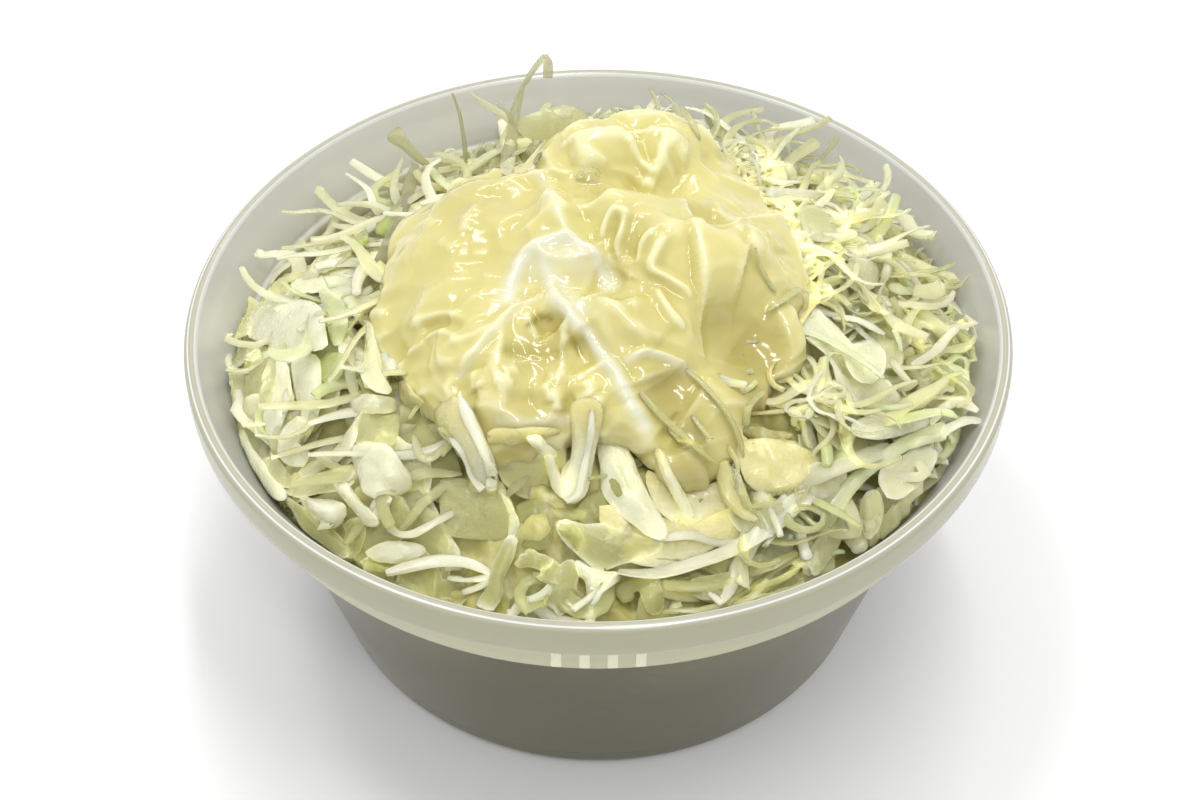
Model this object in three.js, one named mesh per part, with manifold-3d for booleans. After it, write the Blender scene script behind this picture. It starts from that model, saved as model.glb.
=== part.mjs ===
// Coleslaw in a round translucent cup: the cup, the heap of shredded cabbage that fills it, and the egg
// dressing spooned over the heap. Millimetres, +Z up, origin at the middle of the cup's foot. The side that
// is looked at faces -Y.
import * as THREE from "three";
import Module from "manifold-3d";
import { mergeVertices } from "three/addons/utils/BufferGeometryUtils.js";

// Driving sizes of the cup.
const cupHeight = 54;
const rimRadius = 58.5; // outside of the lid flange
const lipInnerRadius = 56.4; // mouth, measured at the lip
const wall = 0.8; // body and flange walls
const skirtDrop = 4.85; // lid flange, down from the lip
const collarDrop = 12; // stacking ring, down from the lip
const ringInner = 54.65; // the stacking ring's two faces
const ringOuter = 55.4;
const ledgeDrop = 9; // step inside the cup, down from the lip
const ledgeRadius = 52; // inside the body, just under the step
const footRadius = 42.8; // body, where its side would meet the table
const segments = 64; // round the cup

// Stiffening webs between the stacking ring and the body, in four groups.
const webGroups = 4;
const websInGroup = 4;
const webWidth = 1.36;
const webPitch = 3.5;

// The heap.
const gap = 0.3; // between solids that touch
const borderDrop = { back: 8.1, front: 5.2 }; // where the cabbage meets the cup, down from the lip
const fullest = { x: 0.42, y: -0.91 }; // direction in which it lies highest against the cup
const heapRise = 19.8; // crown of the cabbage above its border
const crown = { x: -2, y: 3 };
const roundness = 1.8; // of the mound's crown
const flare = 1.15; // of its edge

// Worked out from those.
const ledgeWidth = 0.9;
const lipRound = 0.95; // radius of the rounded lip
const lipInnerZ = cupHeight - lipRound;
const ledgeZ = cupHeight - ledgeDrop;
const collarZ = cupHeight - collarDrop;
const skirtZ = cupHeight - skirtDrop;
const flangeRoof = cupHeight - 2; // underside of the lid flange
const grooveZ = collarZ + 5.2; // roof of the groove behind the stacking ring
const flangeLean = 1.6; // how far the wall over the stacking ring leans out, up to the flange's underside
const floorZ = 1.5; // inside of the cup's floor
const recess = { radius: 36.6, height: 0.7, slope: 1 }; // hollow under the cup
const footFillet = 3.2;
const cornerFillet = 2.7; // inside, between floor and side
const draft = 8; // degrees that a fillet stops short of upright

const point = (r, z) => new THREE.Vector2(r, z);

// Points of a quarter round or less, about a centre, from one angle to another in degrees.
function arc(r, z, radius, from, to, steps) {
  return Array.from({ length: steps + 1 }, (_, i) => {
    const a = THREE.MathUtils.degToRad(from + ((to - from) * i) / steps);
    return point(r + radius * Math.cos(a), z + radius * Math.sin(a));
  });
}

// Outside radius of the cup's body at a height, on its straight side.
function bodyRadius(z) {
  const slope = (ledgeRadius + wall - footRadius) / ledgeZ;
  return footRadius + slope * z;
}

// Inside radius of the cup at a height.
function cupInnerRadius(z) {
  if (z < ledgeZ - 0.6) return bodyRadius(z) - wall;
  const low = ledgeZ + 0.1;
  const share = THREE.MathUtils.clamp((z - low) / (lipInnerZ - low), 0, 1);
  return THREE.MathUtils.lerp(ledgeRadius + ledgeWidth, lipInnerRadius, share);
}

// The cup's section, from the middle of its underside round the outside and back to the axis.
function cupProfile() {
  const underside = [
    point(0, recess.height),
    point(recess.radius, recess.height),
    point(recess.radius + recess.slope, 0),
  ];
  const foot = arc(bodyRadius(footFillet) - footFillet, footFillet, footFillet, -90, -draft, 3);
  const side = [
    point(bodyRadius(collarZ), collarZ),
    point(ledgeRadius + 2 * wall, ledgeZ),
  ];
  const stackingRing = [
    point(ringInner, grooveZ),
    point(ringInner + 0.05, collarZ),
    point(ringOuter, collarZ),
    point(ringOuter + 0.1, skirtZ + 0.4),
  ];
  const lidFlange = [
    point(ringOuter + flangeLean, flangeRoof), // leans out with the wall inside it
    point(rimRadius - wall, skirtZ + 0.1),
    point(rimRadius - 0.1, skirtZ),
    point(rimRadius, skirtZ + 0.5),
    point(rimRadius - 0.25, cupHeight - 1.3),
  ];
  const lip = arc(lipInnerRadius + lipRound, lipInnerZ, lipRound, 30, 180, 4);
  const ledge = [
    point(ledgeRadius + ledgeWidth, ledgeZ + 0.1),
    point(ledgeRadius, ledgeZ - 0.3),
    point(ledgeRadius - 0.12, ledgeZ - wall),
  ];
  const cornerZ = floorZ + cornerFillet;
  const cornerRadius = bodyRadius(cornerZ) - wall - cornerFillet;
  const corner = arc(cornerRadius, cornerZ, cornerFillet, -draft, -90, 2);
  return [
    ...underside, ...foot, ...side, ...stackingRing, ...lidFlange, ...lip, ...ledge, ...corner,
    point(0, floorZ),
  ];
}

const wasm = await Module();
wasm.setup();

// A three.js geometry as a manifold-3d solid, and back.
function toSolid(geometry) {
  const plain = geometry.clone();
  plain.deleteAttribute("normal");
  plain.deleteAttribute("uv");
  const merged = mergeVertices(plain, 1e-4);
  return new wasm.Manifold(
    new wasm.Mesh({
      numProp: 3,
      vertProperties: merged.attributes.position.array,
      triVerts: new Uint32Array(merged.index.array),
    }),
  );
}

function toGeometry(solid) {
  const mesh = solid.getMesh();
  const geometry = new THREE.BufferGeometry();
  geometry.setAttribute("position", new THREE.BufferAttribute(mesh.vertProperties, 3));
  geometry.setIndex(new THREE.BufferAttribute(mesh.triVerts, 1));
  geometry.computeVertexNormals();
  return geometry;
}

// A turned shape about +Z from a section of (radius, height) points.
function turned(profile) {
  return new THREE.LatheGeometry(profile, segments).rotateX(Math.PI / 2);
}

// One web: the groove's own section, let a little into the walls on both sides of it.
function web(angle) {
  const bottom = collarZ + 0.4;
  const top = grooveZ + 0.3;
  const into = 0.3;
  const section = new THREE.Shape([
    point(bodyRadius(bottom) - into, bottom),
    point(ringInner + into, bottom),
    point(ringInner + into, top),
    point(ringInner - into, top),
    point(ledgeRadius + ledgeWidth + 0.45, ledgeZ + 0.2),
    point(ledgeRadius + into, ledgeZ - 0.5),
  ]);
  return new THREE.ExtrudeGeometry(section, { depth: webWidth, bevelEnabled: false })
    .translate(0, 0, -webWidth / 2)
    .rotateX(Math.PI / 2)
    .rotateZ(angle);
}

function cupGeometry() {
  let cup = toSolid(turned(cupProfile()));
  for (let group = 0; group < webGroups; group++) {
    for (let i = 0; i < websInGroup; i++) {
      const aside = ((i - (websInGroup - 1) / 2) * webPitch) / ringOuter;
      const angle = -Math.PI / 2 + (group * 2 * Math.PI) / webGroups + aside;
      cup = cup.add(toSolid(web(angle)));
    }
  }
  return toGeometry(cup);
}

// Clumps of cabbage that stand above the even mound, in plan.
const clumps = [
  { x: -42, y: 0, reach: 11, height: 4.5 }, // leaf pile
  { x: -38, y: -18, reach: 9, height: 3.2 }, // thick ribs
  { x: -25, y: -33, reach: 8, height: 2.2 },
  { x: -31, y: 21, reach: 9, height: 2.4 },
  { x: -10, y: 31, reach: 9, height: 3.6 },
  { x: 24, y: 27, reach: 10, height: 4.2 }, // fine shreds at the back
  { x: 36, y: 8, reach: 10, height: 3.6 },
  { x: 43, y: -9, reach: 9, height: 2.6 },
  { x: 31, y: -27, reach: 10, height: 2.8 },
  { x: 6, y: -43, reach: 9, height: 2.2 },
  { x: -9, y: -46, reach: 6, height: 1.6 },
  { x: 17, y: -38, reach: 6, height: -1.8 }, // hollows
  { x: -21, y: -43, reach: 6, height: -2.0 },
  { x: 42, y: -24, reach: 5, height: -2.0 },
];

// Fine unevenness of loose shreds: short waves that cross each other.
const ripples = [
  { length: 13, turn: 25, height: 0.55, phase: 0.4 },
  { length: 10, turn: 98, height: 0.5, phase: 2.1 },
  { length: 8, turn: 151, height: 0.4, phase: 4.4 },
];

function rippleAt(x, y) {
  return ripples.reduce((sum, ripple) => {
    const a = THREE.MathUtils.degToRad(ripple.turn);
    const along = x * Math.cos(a) + y * Math.sin(a);
    return sum + ripple.height * Math.sin((2 * Math.PI * along) / ripple.length + ripple.phase);
  }, 0);
}

// Height of the cabbage where it meets the cup: higher towards the front and the right.
function borderHeight(x, y) {
  const r = Math.hypot(x, y) || 1;
  const forward = 0.5 + (fullest.x * x + fullest.y * y) / (2 * r);
  return cupHeight - THREE.MathUtils.lerp(borderDrop.back, borderDrop.front, forward);
}

// Height of the cabbage's upper surface.
function heapTop(x, y) {
  const border = borderHeight(x, y);
  const edge = cupInnerRadius(border);
  const t = Math.min(1, Math.hypot(x, y) / edge);
  const off = Math.min(1, Math.hypot(x - crown.x * (1 - t), y - crown.y * (1 - t)) / edge);
  const mound = heapRise * Math.pow(1 - Math.pow(off, roundness), flare);
  const uneven = clumps.reduce((sum, clump) => {
    const d = Math.hypot(x - clump.x, y - clump.y) / clump.reach;
    return sum + clump.height * Math.exp(-1.4 * d * d);
  }, rippleAt(x, y));
  return border + mound + uneven * (1 - Math.pow(t, 7));
}

// The heap: the cup's inside below, and its own uneven surface above.
function heapGeometry() {
  const low = floorZ + gap;
  const bend = [low, low + 0.7, low + 2.8]; // heights of the rounded lower edge
  const bendIn = [cornerFillet, 1.3, 0]; // and how far each lies in from the side
  const sides = [
    point(0, low),
    ...bend.map((z, i) => point(cupInnerRadius(z) - bendIn[i] - gap, z)),
    point(cupInnerRadius(ledgeZ / 2) - gap, ledgeZ / 2),
    point(ledgeRadius - gap - 0.15, ledgeZ - wall),
    point(ledgeRadius - gap, ledgeZ - 0.1),
    point(ledgeRadius + ledgeWidth - gap, ledgeZ + 0.1 + gap),
  ];
  const rings = 13;
  const profile = [...sides];
  for (let ring = 0; ring <= rings; ring++) profile.push(point(1 - ring / rings, 0));
  const geometry = turned(profile);
  const position = geometry.getAttribute("position");
  for (let i = 0; i < position.count; i++) {
    const ring = (i % profile.length) - sides.length;
    if (ring < 0) continue;
    const angle = Math.atan2(position.getY(i), position.getX(i));
    const edge = cupInnerRadius(borderHeight(Math.cos(angle), Math.sin(angle))) - gap;
    const reach = edge * (1 - ring / rings);
    const x = reach * Math.cos(angle);
    const y = reach * Math.sin(angle);
    position.setXYZ(i, x, y, heapTop(x, y));
  }
  return geometry;
}

// Outline of the dressing: how far it reaches from its middle, anticlockwise from +X in equal steps.
const dressingMiddle = { x: -1, y: -4 };
const dressingReach = [31, 30, 31, 41, 32, 27, 30, 31, 30, 33, 32, 35, 30, 37, 34, 31];

// Spoonfuls and folds of the dressing, each an oval dome in plan.
const spoonfuls = [
  { x: -20, y: -4, half: [14, 17], turn: 20, height: 3.4 }, // broad left slope
  { x: -15, y: 5, half: [11, 8], turn: -10, height: 3.0 },
  { x: 5, y: 16, half: [16, 9], turn: 8, height: 6.2 }, // back fold
  { x: -5, y: 12, half: [8, 7], turn: 0, height: 3.6 },
  { x: 17, y: 17, half: [9, 8], turn: 30, height: 3.4 },
  { x: -3, y: -2, half: [8, 11], turn: -12, height: 4.4 }, // middle ridge
  { x: 13, y: -7, half: [13, 10], turn: -18, height: 6.2 }, // right lump
  { x: -11, y: -23, half: [14, 9], turn: 8, height: 4.8 }, // front mass
  { x: 4, y: -22, half: [9, 11], turn: -24, height: 4.4 },
  { x: 11, y: -32, half: [8, 8], turn: -30, height: 3.4 }, // front tongue
  { x: -14, y: -33, half: [5, 7], turn: 12, height: 2.8 },
  { x: 24, y: -2, half: [7, 10], turn: 0, height: 2.6 },
  { x: 19, y: 8, half: [8, 7], turn: 0, height: 3.0 },
];
const skimDepth = 1.5; // dressing between the spoonfuls

function dressingReachAt(angle) {
  const count = dressingReach.length;
  const share = (((angle / (2 * Math.PI)) % 1) + 1) % 1;
  const at = share * count;
  const i = Math.floor(at);
  const k = at - i;
  const [a, b, c, d] = [-1, 0, 1, 2].map((step) => dressingReach[(i + step + count) % count]);
  return b + 0.5 * k * (c - a + k * (2 * a - 5 * b + 4 * c - d + k * (3 * (b - c) + d - a)));
}

function domeDepth(spoonful, x, y) {
  const a = THREE.MathUtils.degToRad(spoonful.turn);
  const dx = x - spoonful.x;
  const dy = y - spoonful.y;
  const u = (dx * Math.cos(a) + dy * Math.sin(a)) / spoonful.half[0];
  const v = (dy * Math.cos(a) - dx * Math.sin(a)) / spoonful.half[1];
  return spoonful.height * Math.sqrt(Math.max(0, 1 - u * u - v * v));
}

// Depth of the dressing over the cabbage; t is 0 at its middle and 1 at its edge.
function dressingDepth(x, y, t) {
  const domes = spoonfuls.map((spoonful) => domeDepth(spoonful, x, y)).sort((a, b) => b - a);
  const blended = domes[0] + 0.35 * domes[1];
  return (skimDepth + blended) * Math.sqrt(1 - Math.pow(t, 5)) + gap;
}

function dressingGeometry(heap) {
  const rings = 13;
  const below = 40; // lower than any cabbage under the dressing
  const profile = [point(0, below), point(1, below)];
  for (let ring = 0; ring <= rings; ring++) profile.push(point(1, 0));
  const geometry = turned(profile);
  const position = geometry.getAttribute("position");
  for (let i = 0; i < position.count; i++) {
    const row = i % profile.length;
    if (row === 0) {
      position.setXYZ(i, dressingMiddle.x, dressingMiddle.y, below);
      continue;
    }
    const column = Math.floor(i / profile.length);
    const angle = ((column % segments) / segments) * 2 * Math.PI;
    const t = row === 1 ? 1 : Math.pow(1 - (row - 2) / rings, 0.8);
    const reach = dressingReachAt(angle) * t;
    const x = dressingMiddle.x + reach * Math.cos(angle);
    const y = dressingMiddle.y + reach * Math.sin(angle);
    const top = row === 1 ? below : heapTop(x, y) + dressingDepth(x, y, t) - (t === 1 ? gap : 0);
    position.setXYZ(i, x, y, top);
  }
  const lifted = toSolid(heap.clone().translate(0, 0, gap));
  const pieces = toSolid(geometry).subtract(lifted).decompose();
  pieces.sort((a, b) => b.volume() - a.volume());
  return toGeometry(pieces[0]);
}

function named(name, geometry, look) {
  const mesh = new THREE.Mesh(geometry, new THREE.MeshStandardMaterial(look));
  mesh.name = name;
  return mesh;
}

const coleslaw = new THREE.Group();
const heap = heapGeometry();
coleslaw.add(
  named("cup", cupGeometry(), {
    color: 0xd2d1c6, roughness: 0.3, metalness: 0, transparent: true, opacity: 0.45,
  }),
  named("cabbage", heap, { color: 0xdcdcaa, roughness: 0.5, metalness: 0 }),
  named("dressing", dressingGeometry(heap), { color: 0xeee4a2, roughness: 0.2, metalness: 0 }),
);

export default coleslaw;
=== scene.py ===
import math
import bpy
import numpy as np
from mathutils import Euler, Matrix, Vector
from mathutils.bvhtree import BVHTree


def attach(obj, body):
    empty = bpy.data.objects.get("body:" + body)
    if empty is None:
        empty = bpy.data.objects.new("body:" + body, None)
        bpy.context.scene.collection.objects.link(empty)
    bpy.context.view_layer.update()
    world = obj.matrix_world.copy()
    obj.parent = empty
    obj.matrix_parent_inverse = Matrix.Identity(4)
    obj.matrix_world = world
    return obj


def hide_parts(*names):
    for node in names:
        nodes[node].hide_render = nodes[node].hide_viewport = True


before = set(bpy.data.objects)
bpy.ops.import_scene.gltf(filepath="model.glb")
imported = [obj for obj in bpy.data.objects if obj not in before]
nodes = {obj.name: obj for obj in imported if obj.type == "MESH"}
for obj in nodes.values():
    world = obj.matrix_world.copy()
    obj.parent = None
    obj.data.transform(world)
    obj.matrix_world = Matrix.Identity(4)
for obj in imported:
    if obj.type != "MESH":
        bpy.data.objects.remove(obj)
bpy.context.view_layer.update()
scene = bpy.context.scene
mm = 0.001  # sizes below are in millimetres, meshes in metres
crispAngle = 50  # edges of cut cabbage sharper than this stay crisp


def pick(obj):
    bpy.ops.object.select_all(action="DESELECT")
    obj.select_set(True)
    bpy.context.view_layer.objects.active = obj


def applied(obj, kind, **settings):
    pick(obj)
    modifier = obj.modifiers.new(kind.lower(), kind)
    for name, value in settings.items():
        setattr(modifier, name, value)
    bpy.ops.object.modifier_apply(modifier=modifier.name)


def joined(objects, name):
    bpy.ops.object.select_all(action="DESELECT")
    for obj in objects:
        obj.select_set(True)
    bpy.context.view_layer.objects.active = objects[0]
    if len(objects) > 1:
        bpy.ops.object.join()
    objects[0].name = objects[0].data.name = name
    return objects[0]


def smooth(obj):
    obj.data.polygons.foreach_set("use_smooth", np.ones(len(obj.data.polygons), bool))


def shredMesh(name, points, faces, looks, uvs):
    # lists of arrays, points in mm; looks are (tint, coat, green) for each point
    mesh = bpy.data.meshes.new(name)
    mesh.from_pydata((np.concatenate(points) * mm).tolist(), [], faces)
    mesh.update()
    loopVertex = np.zeros(len(mesh.loops), np.int32)
    mesh.loops.foreach_get("vertex_index", loopVertex)
    looks = np.concatenate(looks)
    layer = mesh.color_attributes.new("look", "FLOAT_COLOR", "POINT")
    layer.data.foreach_set("color", np.c_[looks, np.ones(len(looks))].astype(np.float32).ravel())
    layer = mesh.uv_layers.new(name="alongStrand")
    layer.data.foreach_set("uv", np.concatenate(uvs).astype(np.float32)[loopVertex].ravel())
    obj = bpy.data.objects.new(name, mesh)
    scene.collection.objects.link(obj)
    smooth(obj)
    pick(obj)
    bpy.ops.object.shade_smooth_by_angle(angle=math.radians(crispAngle))
    return obj


def pointsOf(obj):
    co = np.zeros(len(obj.data.vertices) * 3, np.float32)
    obj.data.vertices.foreach_get("co", co)
    return co.reshape(-1, 3).astype(float) / mm


def normalsOf(obj):
    normals = np.zeros(len(obj.data.vertices) * 3, np.float32)
    obj.data.vertices.foreach_get("normal", normals)
    return normals.reshape(-1, 3).astype(float)


def movePoints(obj, points):
    obj.data.vertices.foreach_set("co", (points * mm).astype(np.float32).ravel())
    obj.data.update()


def rides(obj, slot, *replaced):
    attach(obj, "root")
    if replaced:
        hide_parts(*replaced)


def smoothNoise(points, size, seed):
    # sum of crossing waves, about -1 to 1, for unevenness of a size in mm
    rng = np.random.default_rng(seed)
    total = np.zeros(len(points))
    for _ in range(7):
        way = rng.normal(size=3)
        way /= np.linalg.norm(way)
        length = size * rng.uniform(0.7, 1.6)
        total += np.sin(points @ way * (2 * math.pi / length) + rng.uniform(0, 6.28))
    return total / 3.2


viewpoint = {"place": (0, -170.49, 206.62), "down": 45.452, "aside": 0.08, "lens": 48, "sensor": 36}
view = {"width": 1200, "height": 800}
cameraTurn = Euler((math.radians(90 - viewpoint["down"]), 0, -math.radians(viewpoint["aside"])))


def addCamera():
    place = [value * mm for value in viewpoint["place"]]
    bpy.ops.object.camera_add(location=place, rotation=cameraTurn)
    camera = bpy.context.object
    camera.data.lens = viewpoint["lens"]
    camera.data.sensor_width = viewpoint["sensor"]
    camera.data.clip_start = 0.01
    scene.camera = camera


addCamera()
print("camera placed")


def treeOf(*names):
    points, faces = [], []
    for name in names:
        mesh = nodes[name].data
        faces += [[i + len(points) for i in face.vertices] for face in mesh.polygons]
        points += [vertex.co / mm for vertex in mesh.vertices]
    return BVHTree.FromPolygons(points, faces)


heapTree = treeOf("cabbage")
dressingTree = treeOf("dressing")
topTree = treeOf("cabbage", "dressing")


def sightLine(u, v):
    reach = viewpoint["lens"] / viewpoint["sensor"] * view["width"]
    aim = Vector(((u - view["width"] / 2) / reach, (view["height"] / 2 - v) / reach, -1))
    aim.rotate(cameraTurn)
    return aim.normalized()


def spotAt(u, v, lift=0.0, tree=topTree):
    # the place on the heap seen at a position of the view, raised by lift towards the camera
    eye = Vector(viewpoint["place"])
    aim = sightLine(u, v)
    hit = tree.ray_cast(eye, aim)[0]
    if hit is None:  # over the heap's far edge: the nearest place of the heap's edge plane
        hit = eye + aim * ((rimLevel - 6 - eye.z) / aim.z)
    return np.array(hit - aim * (lift / abs(aim.z)))


cup = {
    "height": 54.0,
    "rim": 58.5,  # radius outside the lid flange
    "mouth": 56.4,  # radius inside the lip
    "lip": 0.95,  # its rounding
    "wall": 0.8,
    "skirt": 4.85,  # lid flange, down from the lip
    "collar": 12.0,  # stacking ring, down from the lip
    "ring": (54.65, 55.4),  # its two faces
    "ledge": 9.0,  # inner step, down from the lip
    "ledgeRadius": 52.0,
    "ledgeWidth": 0.9,
    "foot": 42.8,
    "floor": 1.5,
    "corner": 2.7,
    "turns": 192,
}
rimLevel = cup["height"]
ledgeLevel = cup["height"] - cup["ledge"]


def bodyRadius(z):
    return cup["foot"] + (cup["ledgeRadius"] + cup["wall"] - cup["foot"]) / ledgeLevel * z


def insideRadius(z):
    low = ledgeLevel + 0.1
    share = np.clip((z - low) / (rimLevel - cup["lip"] - low), 0, 1)
    above = cup["ledgeRadius"] + cup["ledgeWidth"]
    above = above + (cup["mouth"] - above) * share
    return np.where(z < ledgeLevel - 0.6, bodyRadius(z) - cup["wall"], above)


def heldInside(points, into=0.0):
    # draws in what would come through the wall
    z = points[:, 2]
    below = bodyRadius(z) - cup["wall"]
    step = np.clip((z - ledgeLevel + 0.3) / 0.7, 0, 1)
    most = below + (insideRadius(np.maximum(z, ledgeLevel + 0.4)) - below) * step + into
    points[:, :2] *= np.minimum(1, most / np.maximum(np.hypot(points[:, 0], points[:, 1]), 1e-6))[:, None]
    return points


mapStep = 0.5
mapHalf = 58.0
mapAxis = np.arange(-mapHalf, mapHalf + mapStep / 2, mapStep)
noGround = -99.0


def surveyed(tree):
    heights = np.full((len(mapAxis), len(mapAxis)), noGround)
    for row, y in enumerate(mapAxis):
        for column, x in enumerate(mapAxis):
            if x * x + y * y < mapHalf * mapHalf:
                hit = tree.ray_cast(Vector((x, y, 120)), Vector((0, 0, -1)))[0]
                if hit is not None:
                    heights[row, column] = hit.z
    return heights


def readMap(grid, x, y):
    gx = np.clip((x + mapHalf) / mapStep, 0, len(mapAxis) - 1.001)
    gy = np.clip((y + mapHalf) / mapStep, 0, len(mapAxis) - 1.001)
    ix = gx.astype(int)
    iy = gy.astype(int)
    fx = gx - ix
    fy = gy - iy
    low = grid[iy, ix] * (1 - fx) + grid[iy, ix + 1] * fx
    high = grid[iy + 1, ix] * (1 - fx) + grid[iy + 1, ix + 1] * fx
    return low * (1 - fy) + high * fy


def spread(grid, reach):
    # mean over a square of 2 * reach + 1 cells, twice, which is close to a bell
    for _ in range(2):
        for axis in (0, 1):
            padded = np.pad(grid, [(reach + 1, reach) if i == axis else (0, 0) for i in (0, 1)], mode="edge")
            total = np.cumsum(padded, axis=axis)
            size = grid.shape[axis]
            high = np.take(total, np.arange(2 * reach + 1, 2 * reach + 1 + size), axis=axis)
            low = np.take(total, np.arange(size), axis=axis)
            grid = (high - low) / (2 * reach + 1)
    return grid


def between(before, here, there, after, f):
    bend = (2 * before - 5 * here + 4 * there - after) * f**2
    bend = bend + (3 * here - before - 3 * there + after) * f**3
    return 0.5 * (2 * here + (there - before) * f + bend)


def curveThrough(points, count):
    # a smooth line through a few points
    p = np.asarray(points, float)
    t = np.linspace(0, len(p) - 1, count)
    i = np.minimum(t.astype(int), len(p) - 2)
    return between(*(p[np.clip(i + k, 0, len(p) - 1)] for k in (-1, 0, 1, 2)), (t - i)[:, None])


def closedCurve(points, count):
    # the same for a line that comes back to its start
    p = np.asarray(points, float)
    t = np.linspace(0, len(p), count, endpoint=False)
    i = t.astype(int)
    return between(*(p[(i + k) % len(p)] for k in (-1, 0, 1, 2)), (t - i)[:, None])


def depthBelow(tree, u, v):
    # how far off the nearest thing is, straight below a place of the view
    eye = Vector(viewpoint["place"])
    downs = *range(10, 200, 10), *range(-10, -200, -10)
    hits = (tree.ray_cast(eye, sightLine(u, v + down))[0] for down in downs)
    return next((hit - eye).length for hit in hits if hit)


def alongView(line, count, tree, calm=4):
    # places on a surface under a line of the view; a third number is the lift over it
    line = [(*spot, 0)[:3] for spot in line]
    eye = np.array(viewpoint["place"])
    aims, depths, lifts = [], [], []
    for u, v, lift in curveThrough(line, count):
        aim = sightLine(u, v)
        hit = tree.ray_cast(Vector(eye), aim)[0]
        aims.append(aim)
        depths.append((hit - Vector(eye)).length if hit else np.nan)
        lifts.append(lift / abs(aim.z))
    depths = np.array(depths)
    found = np.flatnonzero(~np.isnan(depths))
    if len(found):
        depths = np.interp(np.arange(count), found, depths[found])
    else:  # all of it in the open
        depths[:] = depthBelow(tree, *line[0][:2])
    depths = smoothRow(depths, calm) if calm else depths
    return eye + np.array(aims) * (depths - np.array(lifts))[:, None]


heapMap = surveyed(heapTree)
heapMap[heapMap == noGround] = ledgeLevel
dressingMap = surveyed(dressingTree)
underDressing = dressingMap > noGround
nearDressing = np.clip(spread(underDressing.astype(float), 6) * 1.6, 0, 1)


dips = {  # where the heap is lower: depth, direction, its spread, radius from which and over which it sinks
    "backLeft": (7.5, 134, 30, 34, 10),
    "backRight": (2.2, 38, 30, 46, 5),
}


def hollow(x, y):
    # how far the heap lies below its outline
    angle = np.degrees(np.arctan2(y, x))
    radius = np.hypot(x, y)
    return sum(
        depth * (np.exp(-((angle - way) / wide) ** 2) * np.clip((radius - start) / over, 0, 1))
        for depth, way, wide, start, over in dips.values()
    )


print("heap surveyed")


def smoothRow(values, reach):
    weights = np.hanning(2 * reach + 3)[1:-1]
    padded = np.pad(values, reach, mode="edge")
    return np.convolve(padded, weights / weights.sum(), mode="valid")


def highestNear(values, reach):
    padded = np.pad(values, reach, mode="edge")
    return np.max([padded[i : i + len(values)] for i in range(2 * reach + 1)], axis=0)


pointsAcross = {"thread": 1, "strip": 2, "rib": 3, "ribbon": 5, "rope": 9}  # inner points of one face
bundleAside = 2.2  # how far the strands of a bundle lie apart, in mm
bundleFan = 0.35  # and their directions, in radians


def sectionOf(kind):
    # points round a strand as (across, up), for a half width and half thickness of 1
    angles = np.linspace(0, math.pi, pointsAcross[kind] + 2)
    face = [(math.cos(angle), math.sin(angle) ** 0.5) for angle in angles]
    face[0] = (1, 0)
    face[-1] = (-1, 0)
    return np.array(face + [(across, -up) for across, up in face[-2:0:-1]])


class Pile:
    # the height of what has been laid so far, and how high it may reach

    def __init__(self, start, limit):
        self.top = start.copy()
        self.limit = limit

    def settle(self, x, y, halfWidth, stiff, normal):
        # height that a strand's middle takes over what lies there
        asideX, asideY = normal[0] * halfWidth, normal[1] * halfWidth
        wide = [readMap(self.top, x + k * asideX, y + k * asideY) for k in (-1, 0, 1)]
        contact = 0.5 * np.max(wide, axis=0) + 0.5 * np.mean(wide, axis=0)
        return smoothRow(0.6 * highestNear(contact, max(1, stiff // 2)) + 0.4 * contact, stiff)

    def cover(self, x, y, z, halfWidth):
        reach = max(1, int(round(halfWidth / mapStep)))
        offsets = [
            (i, j) for i in range(-reach, reach + 1) for j in range(-reach, reach + 1)
            if i * i + j * j <= (halfWidth / mapStep) ** 2 + 0.3
        ]
        ix = np.round((x + mapHalf) / mapStep).astype(int)
        iy = np.round((y + mapHalf) / mapStep).astype(int)
        last = len(mapAxis) - 1
        for i, j in offsets:
            np.maximum.at(self.top, (np.clip(iy + j, 0, last), np.clip(ix + i, 0, last)), z)


def wander(middle, heading, length, bend, wave, count, rng):
    # a plan line through middle whose direction drifts and wavers
    s = np.linspace(-length / 2, length / 2, count)
    turn = heading + rng.normal(0, bend) * s
    for _ in range(2):
        period = rng.uniform(0.45, 1.2) * length
        turn = turn + rng.normal(0, wave) * np.sin(2 * math.pi * s / period + rng.uniform(0, 6.28))
    step = length / (count - 1)
    x = np.cumsum(np.cos(turn)) * step
    y = np.cumsum(np.sin(turn)) * step
    half = count // 2
    return x - x[half] + middle[0], y - y[half] + middle[1], s


def inZone(zones, rng):
    # a place in one of the zones: share, angle round the cup and its spread, nearest and farthest radius
    weights = np.array([zone[0] for zone in zones], float)
    _, angle, around, near, far = zones[rng.choice(len(zones), p=weights / weights.sum())]
    angle = math.radians(rng.normal(angle, around))
    radius = math.sqrt(rng.uniform(near * near, far * far))
    return np.array((radius * math.cos(angle), radius * math.sin(angle))), angle


def strandFrame(path, roll):
    along = np.gradient(path, axis=0)
    along /= np.linalg.norm(along, axis=1)[:, None] + 1e-9
    upward = np.array((0.0, 0.0, 1.0)) - along * along[:, 2:3]
    upward /= np.linalg.norm(upward, axis=1)[:, None] + 1e-9
    side = np.cross(upward, along)
    c = np.cos(roll)[:, None]
    s = np.sin(roll)[:, None]
    return side * c + upward * s, upward * c - side * s


def keepInCup(path, halfWidth):
    radius = np.hypot(path[:, 0], path[:, 1])
    most = np.minimum(insideRadius(path[:, 2]), cup["mouth"]) - halfWidth - 0.15
    scale = np.minimum(1, most / np.maximum(radius, 1e-6))
    path[:, :2] *= scale[:, None]
    return path


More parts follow.
